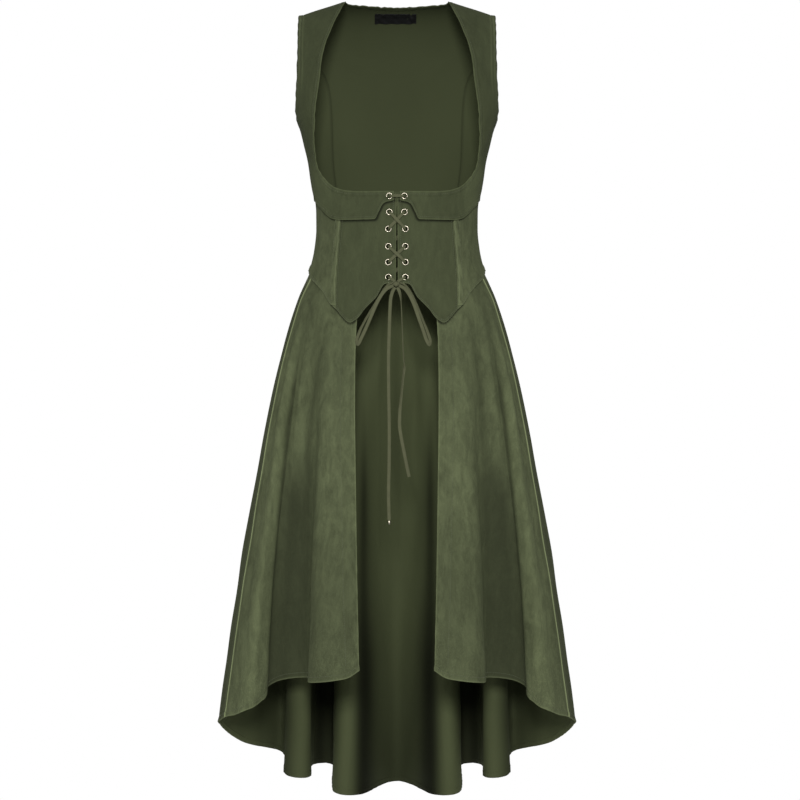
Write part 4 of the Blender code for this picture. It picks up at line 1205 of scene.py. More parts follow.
# Skirt fold lines; their shades are painted shade in the folds and by the side seam, negative ones painted
# light
SKIRT_FOLDS_AND_PAINTED_SHADE = (
    Line(5.0, 5.0, 0.26, 0.08, 1.60, 0.0000, 0.38),
    Line(1.5, 1.5, 0.30, 0.10, 1.50, 0.0000, 0.14),
    Line(0.9, 0.9, 0.45, 0.80, 1.50, 0.0000, 0.30),
    Line(6.1, 6.1, 0.10, 0.28, 0.45, 0.0000, -0.10),
    Line(6.9, 6.9, 0.30, 0.60, 0.35, 0.0000, 0.16),
    Line(2.3, 2.0, 0.45, 0.75, 0.50, 0.0000, 0.25),
    Line(0.9, 0.9, 0.00, 0.30, 0.35, -0.0006, 0.10),
    Line(1.7, 1.9, 0.05, 0.30, 0.45, 0.0020, 0.00),
    Line(2.2, 2.4, 0.06, 0.40, 0.25, 0.0012, 0.00),
    Line(3.5, 3.25, 0.02, 0.28, 0.24, -0.0026, 0.45),
    Line(4.2, 4.2, 0.05, 0.20, 0.30, 0.0022, 0.00),
    Line(4.0, 3.8, 0.34, 0.56, 0.95, 0.0000, 0.88),
    Line(5.0, 4.3, 0.12, 0.45, 0.26, -0.0050, 0.30),
    Line(5.5, 4.5, 0.10, 0.28, 0.20, -0.0050, 0.85),
    Line(6.1, 5.6, 0.02, 0.20, 0.30, 0.0046, 0.00),
    Line(6.5, 6.5, 0.04, 0.25, 0.22, -0.0024, 0.10),
    Line(7.5, 7.5, 0.00, 0.04, 0.36, -0.0030, 0.80),
    Line(8.2, 8.2, 0.00, 0.04, 0.70, 0.0000, 0.75),
    Line(8.4, 8.5, 0.04, 0.30, 0.35, 0.0030, 0.00),
    Line(9.3, 9.4, 0.10, 0.45, 0.45, -0.0040, 0.30),
    Line(10.6, 10.5, 0.03, 0.25, 0.35, 0.0030, 0.00),
    Line(11.5, 11.6, 0.15, 0.55, 0.60, -0.0030, 0.60),
    Line(12.6, 12.6, 0.03, 0.25, 0.35, 0.0026, 0.00),
    Line(13.5, 13.5, 0.05, 0.35, 0.40, 0.0024, 0.00),
    Line(14.4, 14.4, 0.04, 0.25, 0.30, -0.0030, 0.25),
    Line(15.5, 15.6, 0.15, 0.55, 0.60, -0.0030, 0.60),
    Line(16.5, 16.6, 0.05, 0.30, 0.30, 0.0026, 0.00),
)
# Painted shade on the skirt's inside, darkest in the deep folds towards the hem
INSIDE_PAINTED_SHADE_LINES = (
    Line(9.8, 9.8, 0.50, 0.80, 0.70, 0.0, 0.55),
    Line(10.8, 10.8, 0.50, 0.80, 0.80, 0.0, 0.70),
    Line(12.3, 12.3, 0.50, 0.80, 0.40, 0.0, 0.50),
    Line(13.3, 13.3, 0.50, 0.80, 0.60, 0.0, 0.92),
    Line(14.0, 14.0, 0.50, 0.80, 0.55, 0.0, 0.90),
    Line(15.2, 15.2, 0.60, 0.85, 0.40, 0.0, 0.14),
    Line(15.75, 16.08, 0.20, 0.45, 0.28, 0.0, 0.76),
    Line(16.08, 16.12, 0.55, 0.80, 0.34, 0.0, 0.85),
    Line(17.0, 17.0, 0.00, 0.30, 0.35, 0.0, 0.20),
    Line(17.0, 17.0, 0.60, 0.90, 0.90, 0.0, 0.46),
    Line(17.0, 17.0, 0.84, 1.02, 1.50, 0.0, 0.35),
)
FREE, SEWN = 1.0, 0.0
HALVES = ((1, "left"), (-1, "right"))


def armhole_then_seam(share_of_end):
    """An edge that is free down to the armhole's end and sewn below it."""
    def free(across, down):
        return (down < share_of_end).astype(float)
    return free


def down_share(top, bottom, level):
    """The share down a panel at which down_to gives a level."""
    return float((root_of(level) - root_of(top)) / (root_of(bottom) - root_of(top)))


def make_back():
    """The centre back and the two side backs, with their neckline, armholes and curved seams."""
    armhole_end = down_share(0.0, BACK_HEM, BACK_SEAM[0][0])
    edge = armhole_then_seam(armhole_end)

    def neckline(across, down):
        return (np.abs(2 * across - 1) < NECK_X / SHOULDER_X).astype(float)

    # painted shade on the back's inside, darkest at the top
    def top_painted_shade(across, down):
        return np.zeros(across.shape), BACK_PAINTED_SHADE * faded(*BACK_SHADE_DOWN, down)

    rows = [down_share(0.0, BACK_HEM, level) for level in BACK_SEAM_ROWS]
    skin = lay(bodice, back_centre_pattern, Edges(edge, edge, neckline, None), creases=BACK_CREASES,
               inside=top_painted_shade, rows=rows)
    neck_share = (1 - NECK_X / SHOULDER_X) / 2
    stitches = put_stitches("stitch_back", skin, [
        *((hand, inset, 0.0, armhole_end)
          for hand in ("first", "last") for inset in (DOUBLE_STITCH, HEM_WIDTH)),
        *((hand, TOPSTITCH, armhole_end, 1.0) for hand in ("first", "last")),
        ("top", HEM_WIDTH, neck_share, 1 - neck_share),
    ])
    put_cloth("back_centre", skin)
    side_end = down_share(BACK_SIDE_TOP, BACK_HEM, ARMHOLE_BOTTOM)

    def side_rise(angle, root):
        depth = root ** 2
        return SIDE_RISE * flap_lift(-depth) * faded(*RISE_ANGLES, angle) * faded(*RISE_DEPTHS, depth)

    skin = lay(bodice, back_side_pattern, Edges(armhole_then_seam(side_end), SEWN, None, None), side_rise,
               creases=BACK_SIDE_CREASES)
    runs = (("first", DOUBLE_STITCH, 0.04, side_end), ("first", HEM_WIDTH, 0.06, side_end))
    for side, hand in HALVES:
        put_sewn(f"back_side_{hand}", skin, runs, side)


def make_yokes():
    """The straps that turn into the flap under the bust."""
    def outer_edge(across, down):
        return ((down < ARMHOLE_END) | (down > SIDE_SEAM_END)).astype(float)

    def stand(angle, root):
        return flap_lift(-root ** 2) * (1 - FLAP_SINK * eased(*SINK_ANGLES, angle))

    def rolled(across, down):
        roll = FLAP_ROLL * eased(*FLAP_ROLL_ACROSS, across)
        roll *= eased(SIDE_SEAM_END, SIDE_SEAM_END + FLAP_ROLL_REACH, down)
        # painted shade on the strap, painted light on the flap by the side seam, and the strap's paler lines
        shade = STRAP_PAINTED_SHADE * faded(*STRAP_SHADE_ACROSS, across) * faded(*STRAP_SHADE_DOWN, down)
        shade -= FLAP_PAINTED_LIGHT * eased(*FLAP_LIGHT_START, down) * faded(*FLAP_LIGHT_END, down)
        for place, share in STRAP_LINES:
            line = bell(side_inset(across, down) - place, STRAP_LINE_WIDTH)
            shade -= share * line * faded(*STRAP_LINE_END, down)
        return roll * (1 - FLAP_ROLL_LOSS * eased(*FLAP_LOSS_DOWN, down)), shade

    def side_inset(across, down):
        """How far the strap's front lies in from its widest place, and far on its back."""
        points = bodice(*yoke_pattern(across, down))
        rim = np.take_along_axis(points, points[..., 0].argmax(axis=1)[:, None, None], 1)
        return np.where(points[..., 1] < rim[..., 1], rim[..., 0] - points[..., 0], 1.0)

    skin = lay(bodice, yoke_pattern, Edges(FREE, outer_edge, SEWN, FREE), stand, creases=YOKE_CREASES,
               dressing=rolled, fine=YOKE_FINENESS)
    runs = (
        ("last", DOUBLE_STITCH, 0.0, ARMHOLE_END),
        ("last", HEM_WIDTH, 0.0, ARMHOLE_END),
        ("first", TOPSTITCH),
        ("last", TOPSTITCH, SIDE_SEAM_END, 0.97),
    )
    for side, hand in HALVES:
        pierce(put_sewn(f"yoke_{hand}", skin, runs, side), side, 1)


def make_corset():
    """The corset's two fronts and two sides, with the bone channels beside the seams."""
    def rolled(across, down):
        return CORSET_ROLL * eased(*CORSET_ROLL_DOWN, down), np.zeros(across.shape)

    # the corset's sides darkened all over: painted shade
    def rolled_flank(across, down):
        return rolled(across, down)[0], np.full(across.shape, FLANK_PAINTED_SHADE)

    # painted shadow on the corset beside the flap's lower edge
    station = np.linspace(SIDE_SEAM_END, 1.0, EDGE_POINTS)
    flap_edge = bodice(*yoke_pattern(np.ones(EDGE_POINTS), station))
    front = lay(bodice, corset_front_pattern, Edges(FREE, SEWN, None, FREE), creases=CORSET_FRONT_CREASES,
                dressing=rolled, over=flap_edge, fine=CORSET_FINENESS)
    flank = lay(bodice, corset_side_pattern, Edges(SEWN, SEWN, None, FREE), creases=CORSET_SIDE_CREASES,
                dressing=rolled_flank, over=flap_edge, fine=CORSET_FINENESS)
    channel = lay(bodice, channel_pattern, Edges(FREE, FREE, None, FREE), channel_stand, CHANNEL_WALL,
                  waves=0.0)
    edge_runs = (("bottom", TOPSTITCH), ("bottom", DOUBLE_STITCH / 2))
    front_runs = (*edge_runs, ("first", TOPSTITCH), ("last", DOUBLE_STITCH))
    channel_runs = (("first", CHANNEL_WIDTH / 8), ("last", CHANNEL_WIDTH / 8))
    for side, hand in HALVES:
        pierce(put_sewn(f"corset_front_{hand}", front, front_runs, side), side, len(EYELETS))
        put_sewn(f"corset_side_{hand}", flank, edge_runs, side, TRIM_FINISHES)
        put_stitches(f"stitch_channel_{hand}", channel, channel_runs, side)
        put(f"cloth_bone_channel_{hand}", cloth_mesh("bone_channel", channel, side),
            TRIM_FINISHES, "suede", f"bone_channel_{hand}")


def channel_stand(angle, root):
    """The channel's outside, swollen over its bone and flat along its stitched edges."""
    level = -root ** 2
    middle = 2 * (bodice(angle, root)[..., 0] - corset_seam_at(level) - CHANNEL_INSET) / CHANNEL_WIDTH - 1
    dome = CHANNEL_DOME * np.clip(1 - middle ** 2, 0, 1) ** 0.7 * eased(CHANNEL_UNDER, CHANNEL_TOP, level)
    return CHANNEL_LIFT + CHANNEL_WALL + dome


def skirt_dressing(first, last, lines):
    """The lift of the skirt's fold lines between two folds, and the shade painted along them, light where
    negative.
    """
    def dressing(across, down):
        station = first + (last - first) * across
        station = np.minimum(station, 2 * CENTRE_FOLD - station)
        lift, light = np.zeros(across.shape), np.ones(across.shape)
        for line in lines:
            middle = line.waist + (line.hem - line.waist) * down
            strength = bell(station - middle, line.width) * eased(line.start, line.full, down)
            lift += line.height * strength
            light *= 1 - line.shade * strength
        return lift, 1 - light
    return dressing


def make_skirt():
    """The skirt's five panels, in folds from the waist to a hem that drops towards the back."""
    # painted shadow on the skirt under the bodice's lower edge
    waist_edge = waist_points(np.linspace(0, 2 * CENTRE_FOLD, 2 * EDGE_POINTS), 0.0, -SKIRT_INSET)
    facing = {"facing": FACING_WIDTH, "fine": FRONT_FINENESS}
    panels = (
        ("skirt_front", FRONT_EDGE_FOLD, SIDE_SEAM_FOLD, FREE, SKIRT_FRONT_CREASES, facing),
        ("skirt_side", SIDE_SEAM_FOLD, BACK_SEAM_FOLD, SEWN, SKIRT_SIDE_CREASES, {}),
        ("skirt_back", BACK_SEAM_FOLD, 2 * CENTRE_FOLD - BACK_SEAM_FOLD, SEWN, SKIRT_BACK_CREASES, {}),
    )
    for part, first, last, edge, creases, more in panels:
        skin = with_tuck(lay(skirt, skirt_pattern(first, last), Edges(edge, SEWN, None, FREE),
                             creases=creases, seam=ridge_lift, waves=SKIRT_WAVES, over=waist_edge,
                             dressing=skirt_dressing(first, last, SKIRT_FOLDS_AND_PAINTED_SHADE),
                             inside=skirt_dressing(first, last, INSIDE_PAINTED_SHADE_LINES), **more), first, last)
        runs = [("bottom", HEM_WIDTH)]
        if more:
            runs.append(("first", FACING_WIDTH, 0.02, 0.97))
        halves = [(1, part)] if part == "skirt_back" else [(side, f"{part}_{hand}") for side, hand in HALVES]
        for side, name in halves:
            put_sewn(name, skin, runs, side, SKIRT_FINISHES)


def with_tuck(skin, first, last):
    """The same panel with the strip that runs up inside the bodice's lower edge."""
    station = first + (last - first) * skin.across[:1]
    rises = (SKIRT_TUCK, SKIRT_TUCK / 2)
    outer = [waist_points(station, -rise, -SKIRT_INSET) for rise in rises]
    inner = [waist_points(station, -rise, -SKIRT_INSET - WALL) for rise in rises]
    flat = [np.concatenate((grid[:1], grid[:1], grid)) for grid in skin[2:]]
    return Skin(np.concatenate((*outer, skin.outer)), np.concatenate((*inner, skin.inner)), *flat)


# Eyelets and lace

def cloth_frame(x, level, lift):
    """Place and direction of the cloth's outside at a point of the corset front."""
    spot = np.array(angle_at(x, level)), root_of(level)
    foot = Vector(lifted(bodice, *spot, lift))
    outwards = (Vector(lifted(bodice, *spot, lift + NUDGE)) - foot).normalized()
    return foot, outwards


def eyelet_frames(side):
    """Foot, outward direction and depth of cloth under each eyelet on one side."""
    frames = []
    for row, pair in enumerate(EYELETS):
        lift = FLAP_LIFT if row == 0 else 0.0
        foot, outwards = cloth_frame(pair.x, pair.level, lift)
        foot.x *= side
        outwards.x *= side
        frames.append((foot, outwards, WALL + lift))
    return frames


def standing(foot, outwards):
    return Matrix.Translation(foot) @ outwards.to_track_quat("Z", "Y").to_matrix().to_4x4()


def pierce(obj, side, count):
    """Punch the eyelets' holes through a piece of cloth."""
    for foot, outwards, depth in eyelet_frames(side)[:count]:
        reach = 2 * depth + PUNCH_REACH
        bpy.ops.mesh.primitive_cylinder_add(vertices=24, radius=CLOTH_HOLE, depth=reach)
        punch = bpy.context.object
        punch.matrix_world = standing(foot, outwards)
        cut = obj.modifiers.new("punch", "BOOLEAN")
        cut.operation = "DIFFERENCE"
        cut.object = punch
        bpy.context.view_layer.objects.active = obj
        bpy.ops.object.modifier_apply(modifier=cut.name)
        bpy.data.objects.remove(punch)


def put_turned(name, profile, closed, finish, steps, node, foot, outwards):
    """A metal piece turned from a profile of radii and heights, standing on a foot."""
    count = len(profile)
    edges = [(k, (k + 1) % count) for k in range(count if closed else count - 1)]
    mesh = new_mesh(name, [(radius, 0.0, height) for radius, height in profile], edges=edges)
    piece = put(name, mesh, (finish,), "eyelet_metal", node)
    turn = piece.modifiers.new("turn", "SCREW")
    turn.steps = turn.render_steps = steps
    turn.use_merge_vertices = True
    turn.merge_threshold = 0.00001
    turn.use_smooth_shade = True
    piece.matrix_world = standing(foot, outwards)
    return piece


# Radius and height round the section of an eyelet's flange, from its bore to its barrel's outside
EYELET_FLANGE = (
    (BORE, -0.0008), (0.00312, -0.0002), (0.0034, 0.00048), (0.0038, 0.00092), (0.0043, 0.00115),
    (0.0048, 0.00108), (0.0052, 0.00080), (0.00545, 0.00042), (FLANGE, 0.0002), (0.0053, 0.00008),
    (0.00345, 0.00008),
)


def make_eyelets():
    """Rolled metal eyelets, each with a domed flange outside and a barrel turned over behind."""
    for side, hand in HALVES:
        for number, (foot, outwards, depth) in enumerate(eyelet_frames(side), start=1):
            back = -depth - BARREL_END
            profile = ((BORE, back), *EYELET_FLANGE, (EYELET_FLANGE[-1][0], back))
            put_turned(f"brass_eyelet_{hand}_{number}", profile, True, "eyelet_brass", EYELET_STEPS,
                       f"eyelet_{hand}_{number}", foot, outwards)


# Distance along the cloth and height over it of the lace as it comes out of a bore
FRONT_RISE = ((0.0000, -0.0012), (0.0012, 0.0010), (0.0029, 0.0026), (0.0052, 0.0033))
BACK_RISE = ((0.0009, 0.0012), (0.0027, 0.0023), (0.0052, 0.0027))


def rise(eyelet, heading, behind=False):
    """The lace's first points out of an eyelet's bore, on its way along a heading."""
    foot, _, depth = eyelet
    sign = 1 if behind else -1
    base = foot.y + depth + BARREL_END if behind else foot.y
    return [Vector((foot.x, base + sign * height, foot.z)) + heading * away
            for away, height in (BACK_RISE if behind else FRONT_RISE)]


def strand(start, end, crest, behind=False):
    """The lace between two eyelets, over the cloth or behind it, with its height at mid-way."""
    heading = ((end[0] - start[0]) * Vector((1, 0, 1))).normalized()
    middle = (start[0] + end[0]) / 2
    middle.y += crest if behind else -crest
    return rise(start, heading, behind) + [middle] + rise(end, -heading, behind)[::-1]


def knot_face(direction, side=1):
    """A place just off the knot's surface in a direction from its middle."""
    direction = Vector((direction[0] * side, *direction[1:]))
    reach = 1 / math.sqrt(sum((2 * part / size) ** 2 for part, size in zip(direction, KNOT_SIZE)))
    return Vector(KNOT_AT) + direction * reach + direction.normalized() * KNOT_CLEAR


def to_knot(eyelet, side):
    """The lace from the lowest eyelet down to the back of the knot."""
    last = knot_face(LACING_FACE, side)
    heading = ((last - eyelet[0]) * Vector((1, 0, 1))).normalized()
    bore = rise(eyelet, heading)
    return bore + [(bore[-1] + last) / 2 + Vector((0, 0, LACE_ARCH)), last]


LEFT_LOOP = (
    (0.0115, -0.1155, -0.4730), (0.0180, -0.1185, -0.4800), (0.0255, -0.1200, -0.4930),
    (0.0335, -0.1210, -0.5110), (0.0420, -0.1210, -0.5320), (0.0490, -0.1205, -0.5500),
    (0.0530, -0.1195, -0.5640), (0.0515, -0.1225, -0.5695), (0.0470, -0.1250, -0.5620),
    (0.0415, -0.1255, -0.5460), (0.0340, -0.1255, -0.5250), (0.0265, -0.1250, -0.5040),
    (0.0185, -0.1235, -0.4880), (0.0110, -0.1205, -0.4790),
)
RIGHT_LOOP = (
    (-0.0130, -0.1155, -0.4730), (-0.0195, -0.1185, -0.4800), (-0.0275, -0.1200, -0.4930),
    (-0.0380, -0.1210, -0.5100), (-0.0500, -0.1210, -0.5300), (-0.0590, -0.1205, -0.5480),
    (-0.0640, -0.1200, -0.5640), (-0.0620, -0.1235, -0.5690), (-0.0565, -0.1260, -0.5590),
    (-0.0485, -0.1265, -0.5420), (-0.0390, -0.1265, -0.5200), (-0.0295, -0.1260, -0.4990),
    (-0.0205, -0.1240, -0.4850), (-0.0130, -0.1205, -0.4785),
)
LEFT_END = (
    (0.0042, -0.1150, -0.4850), (0.0065, -0.1165, -0.4980),
    (0.0085, -0.1175, -0.5400), (0.0105, -0.1180, -0.5850), (0.0118, -0.1180, -0.6030),
    (0.0096, -0.1180, -0.6260), (0.0072, -0.1180, -0.6500), (0.0045, -0.1180, -0.6800),
    (0.0042, -0.1180, -0.6950), (0.0072, -0.1180, -0.7180), (0.0105, -0.1185, -0.7350),
    (0.0180, -0.1190, -0.7720), (0.0196, -0.1190, -0.7790),
)
RIGHT_END = (
    (-0.0070, -0.1150, -0.4850), (-0.0100, -0.1165, -0.4980), (-0.0118, -0.1175, -0.5400),
    (-0.0132, -0.1180, -0.5980), (-0.0128, -0.1180, -0.6500), (-0.0120, -0.1180, -0.7030),
    (-0.0122, -0.1180, -0.7500), (-0.0132, -0.1180, -0.8090), (-0.0122, -0.1180, -0.8480),
)


def smooth_route(points, spacing):
    """Evenly spaced points along a smooth curve through a route's points."""
    points = np.array(points, float)
    length = lengths_along(points[None])[0]
    curves = [smooth_curve(list(zip(length, points[:, axis]))) for axis in range(3)]
    steps = max(2, round(length[-1] / spacing))
    at = np.linspace(0, length[-1], steps + 1)
    return np.stack([curve(at) for curve in curves], axis=1)


def ribbon_mesh(name, points, facing, widths, thickness):
    """A flat lace with rounded edges along points, turned to face the directions given."""
    ahead = unit(np.gradient(points, axis=0))
    across = np.cross(ahead, facing)
    firm = np.linalg.norm(across, axis=1)
    known = np.flatnonzero(firm > 0.55)
    across[known] /= firm[known, None]
    for before, after in zip(known, known[1:]):
        if across[after] @ across[before] < 0:
            across[after] *= -1
    number = np.arange(len(points))
    across = np.stack([np.interp(number, known, across[known, axis]) for axis in range(3)], axis=1)
    across = unit(across - ahead * (across * ahead).sum(axis=1, keepdims=True))
    up = np.cross(across, ahead)
    turn = np.radians((-70, -30, 0, 30, 70, 110, 150, 180, 210, 250))
    flat, thick = signed_power(np.cos(turn), 0.5), signed_power(np.sin(turn), 0.8)
    widths = np.broadcast_to(widths, len(points))
    rings = (points[:, None] + across[:, None] * flat[None, :, None] * widths[:, None, None] / 2
             + up[:, None] * thick[None, :, None] * thickness / 2)
    sides = len(turn)
    faces = tube_faces(len(points), sides)
    faces += [tuple(range(sides))[::-1], tuple(range((len(points) - 1) * sides, len(points) * sides))]
    return new_mesh(name, rings.reshape(-1, 3).tolist(), faces, sharp=60)


def make_lacing():
    """The crossed lace, in one run from the knot up one side, over the top pair and down again."""
    sizes = bpy.context.scene.gown_lace
    left, right = eyelet_frames(1), eyelet_frames(-1)
    stops = (right[5], left[4], right[3], left[2], right[1], left[0],
             right[0], left[1], right[2], left[3], right[4], left[5])
    crests = (*(BEHIND_NEAR, CROSS_OVER) * 2, BEHIND_NEAR, TOP_BAR,
              *(BEHIND_FAR, CROSS_UNDER) * 2, BEHIND_FAR)
    route = to_knot(stops[0], -1)[::-1]
    for number, (start, end, crest) in enumerate(zip(stops, stops[1:], crests)):
        route += strand(start, end, crest, behind=number % 2 == 0)
    route += to_knot(stops[-1], 1)
    points = smooth_route(route, LACING_STEP)
    slant = np.abs(unit(np.gradient(points, axis=0)) @ np.array(FRONTWARDS))
    spread = np.clip(1 - slant * SLANT_PINCH, 0, 1)
    spread = np.convolve(np.pad(spread, 2, mode="edge"), np.ones(5) / 5, mode="valid")
    widths = sizes.bunched + (sizes.width - sizes.bunched) * spread
    mesh = ribbon_mesh("lacing", points, np.broadcast_to(FRONTWARDS, points.shape), widths,
                       sizes.thickness * BUNCHED_THICKNESS)
    put("lace_crossed", mesh, ("lace_suede",), "lace", "lace_lacing")


def ribbon_cord(name, node, route, facing, far_end, with_pieces=()):
    """One free stretch of the lace. It faces the given directions
    at shares of its length."""
    sizes = bpy.context.scene.gown_lace
    points = smooth_route(route, LACE_STEP)
    share = np.linspace(0, 1, len(points))
    at, directions = zip(*facing)
    turned = np.stack([np.interp(share, at, parts) for parts in zip(*directions)], axis=1)
    mesh = ribbon_mesh(name, points, turned, sizes.width, sizes.thickness)
    piece = put(name, mesh, ("lace_suede",), "lace", node)
    length = float(lengths_along(points[None])[0, -1])
    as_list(with_pieces)


def make_bow():
    """The knot, the bow's two loops and the two free ends."""
    make_knot()
    tip = make_tip()
    edge_on, twisted = (0.97, -0.2, 0.0), (-0.8, -0.6, 0.0)
    left_facing = ((0.0, FRONTWARDS), (0.08, edge_on), (0.36, edge_on), (0.46, twisted), (0.56, twisted),
                   (0.70, FRONTWARDS), (1.0, (0.3, -0.95, 0.0)))
    right_facing = ((0.0, FRONTWARDS), (0.5, (0.25, -0.97, 0.0)), (1.0, FRONTWARDS))
    parts = (
        (1, "left", LEFT_LOOP, LEFT_END, left_facing, "bare", []),
        (-1, "right", RIGHT_LOOP, RIGHT_END, right_facing, "fitting", [tip]),
    )
    for side, hand, loop, end, end_facing, far_end, with_pieces in parts:
        start, finish = knot_face(LOOP_START_FACE, side), knot_face(LOOP_END_FACE, side)
        turned = (side * 0.75, -0.55, 0.0)
        facing = ((0.0, turned), (0.35, turned), (0.5, (side * 0.3, -0.9, 0.0)), (0.62, FRONTWARDS),
                  (1.0, FRONTWARDS))
        ribbon_cord(f"lace_bow_{hand}", f"lace_loop_{hand}", [start, *loop, finish], facing, "object")
        ribbon_cord(f"lace_tail_{hand}", f"lace_end_{hand}", [knot_face(END_FACE, side), *end], end_facing,
                    far_end, with_pieces)


def make_tip():
    """The small pale metal tip on the wearer's right end of the lace."""
    foot = Vector(RIGHT_END[-1])
    heading = (foot - Vector(RIGHT_END[-2])).normalized()
    profile = ((0.0, 0.0), (0.0017, 0.0), (0.0021, 0.0004), (0.0021, 0.0050), (0.0017, 0.0058), (0.0, 0.0062))
    return put_turned("lace_end_tip", profile, False, "antique_brass", TIP_STEPS, "lace_tip",
                      foot + heading * GAP, heading)


def make_knot():
    """The knot: a band of the lace wrapped over the two loops, with the folds it is pulled into."""
    rings, sides = 28, 40
    size = np.array(KNOT_SIZE) / 2
    around, over = np.meshgrid(np.linspace(0, math.tau, sides, endpoint=False),
                               np.linspace(0, math.pi, rings + 1))
    x, y, z = np.cos(over), np.sin(over) * np.sin(around), np.sin(over) * np.cos(around)
    band = 1 - np.clip(np.abs(x) / 0.42, 0, 1) ** 4
    folds = 0.05 * np.sin(9 * x + 3.0 * z) * np.sin(over) + 0.04 * np.sin(5 * around + 2 * x) * band
    swell = 0.80 + 0.20 * band + folds
    points = np.stack((x * size[0], y * size[1] * swell, z * size[2] * swell), axis=-1) + np.array(KNOT_AT)
    number = np.arange((rings + 1) * sides).reshape(rings + 1, sides)
    beside = np.roll(number, -1, axis=1)
    faces = np.stack((number[:-1], number[1:], beside[1:], beside[:-1]), axis=-1).reshape(-1, 4)
    mesh = new_mesh("knot", points.reshape(-1, 3).tolist(), faces.tolist())
    put("lace_bow_knot", mesh, ("lace_suede",), "lace", "lace_knot")


def make_label():
    """A blank woven label with turned ends, sewn inside the back of the neck."""
    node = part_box("neck_label")
    half = (node[1][0] - node[0][0]) / 2

    def pattern(across, down):
        level = LABEL_TOP - LABEL_DROP * down
        x = half * LABEL_SHARE * (2 * across - 1) + LABEL_SHIFT
        return 180 + angle_at(np.abs(x), level) * np.sign(x), root_of(level)

    def stand(angle, root):
        return np.full(np.shape(root), LABEL_CLEAR - LAYER)

    skin = lay(bodice, pattern, Edges(FREE, FREE, FREE, FREE), stand, LABEL_WALL, waves=0.0)
    put_cloth("neck_label", skin, finishes=("label_weave", "label_weave"), slot="label")


# Stage

def make_stage():
    """A pale floor in white air, soft lights, and the camera at the photo's place."""
    studio = bpy.context.scene.gown_studio
    turns = np.linspace(0, math.tau, FLOOR_CORNERS, endpoint=False)
    rim = [(FLOOR_RADIUS * math.cos(turn), FLOOR_RADIUS * math.sin(turn), studio.floor) for turn in turns]
    ground = new_object("studio_floor", new_mesh("studio_floor", rim, [tuple(range(FLOOR_CORNERS))]))
    ground.data.materials.append(finish_material("studio_paper"))
    put_light("front_softbox", (0.0, -4.2, 0.15), 0.6, studio.front_light)
    put_light("left_softbox", (2.5, -3.4, 0.6), 0.9, studio.side_light)
    put_light("right_softbox", (-2.5, -3.4, 0.6), 0.9, studio.side_light)
    put_light("back_softbox", (0.0, 4.2, 0.15), 0.9, studio.back_light)
    bpy.context.scene.world = white_air(studio.air)
    bpy.context.scene.view_settings.view_transform = "Standard"
    camera = bpy.data.cameras.new("photo_camera")
    camera.sensor_width = 36.0
    camera.lens = camera.sensor_width / 2 / math.tan(studio.view_angle / 2)
    placed = new_object("photo_camera", camera)
    placed.location = (studio.camera_x, -studio.distance, studio.camera_z)
    placed.rotation_euler = (math.radians(90), 0.0, 0.0)
    bpy.context.scene.camera = placed


def white_air(strength_on_gown):
    """Air that is seen as white, and lights the gown with less."""
    world = bpy.data.worlds.new("studio_air")
    world.use_nodes = True
    nodes = world.node_tree.nodes
    seen = nodes.new("ShaderNodeLightPath")
    strength = nodes.new("ShaderNodeMath")
    strength.operation = "MULTIPLY_ADD"
    strength.inputs[1].default_value = 1.0 - strength_on_gown
    strength.inputs[2].default_value = strength_on_gown
    world.node_tree.links.new(seen.outputs["Is Camera Ray"], strength.inputs[0])
    world.node_tree.links.new(strength.outputs[0], nodes["Background"].inputs["Strength"])
    nodes["Background"].inputs["Color"].default_value = WHITE
    return world


def put_light(name, place, size, power):
    """A square soft light that looks at the gown's middle."""
    lamp = bpy.data.lights.new(name, "AREA")
    lamp.size = size
    lamp.energy = power
    placed = new_object(name, lamp)
    placed.location = place
    placed.rotation_euler = (Vector(LIGHT_TARGET) - Vector(place)).to_track_quat("-Z", "Y").to_euler()


# Add-on

def colour_property(name, description, default):
    return bpy.props.FloatVectorProperty(name=name, description=description, subtype="COLOR", size=3,
                                         min=0.0, max=1.0, default=default)


class GownColours(bpy.types.PropertyGroup):
    """Colours of the gown's cloth and trims."""
    # the bodice's suede is the skirt's suede made darker: painted shade
    bodice: colour_property("Bodice", "Brushed suede of the straps and the corset", (0.058, 0.0685, 0.0332))
    skirt: colour_property("Skirt", "Brushed suede of the skirt", (0.096, 0.112, 0.0558))
    inside: colour_property("Inside", "Smooth inside of the bodice", (0.056, 0.066, 0.031))
    # the skirt's inside is the bodice's inside made paler: painted light
    skirt_inside: colour_property("Skirt inside", "Smooth inside of the skirt", (0.080, 0.094, 0.044))
    thread: colour_property("Thread", "Sewing thread", (0.085, 0.098, 0.050))
    lace: colour_property("Lace", "Flat lace", (0.094, 0.099, 0.054))
    brass: colour_property("Brass", "Pale antique brass of the eyelets", (0.68, 0.63, 0.49))
    label: colour_property("Label", "Blank woven label", (0.004, 0.004, 0.004))
    paper: colour_property("Paper", "White of the studio's floor", (1.0, 1.0, 1.0))


def number_property(name, description, default, **kind):
    """A number's setting, a length unless its kind is given."""
    return bpy.props.FloatProperty(name=name, description=description, default=default,
                                   **(kind or {"unit": "LENGTH"}))


class GownLace(bpy.types.PropertyGroup):
    """Sizes of the flat lace."""
    width: number_property("Width", "Width of the flat lace", 0.0054)
    bunched: number_property("Bunched", "Width of the lace inside an eyelet", 0.0028)
    thickness: number_property("Thickness", "Thickness of the lace", 0.0013)


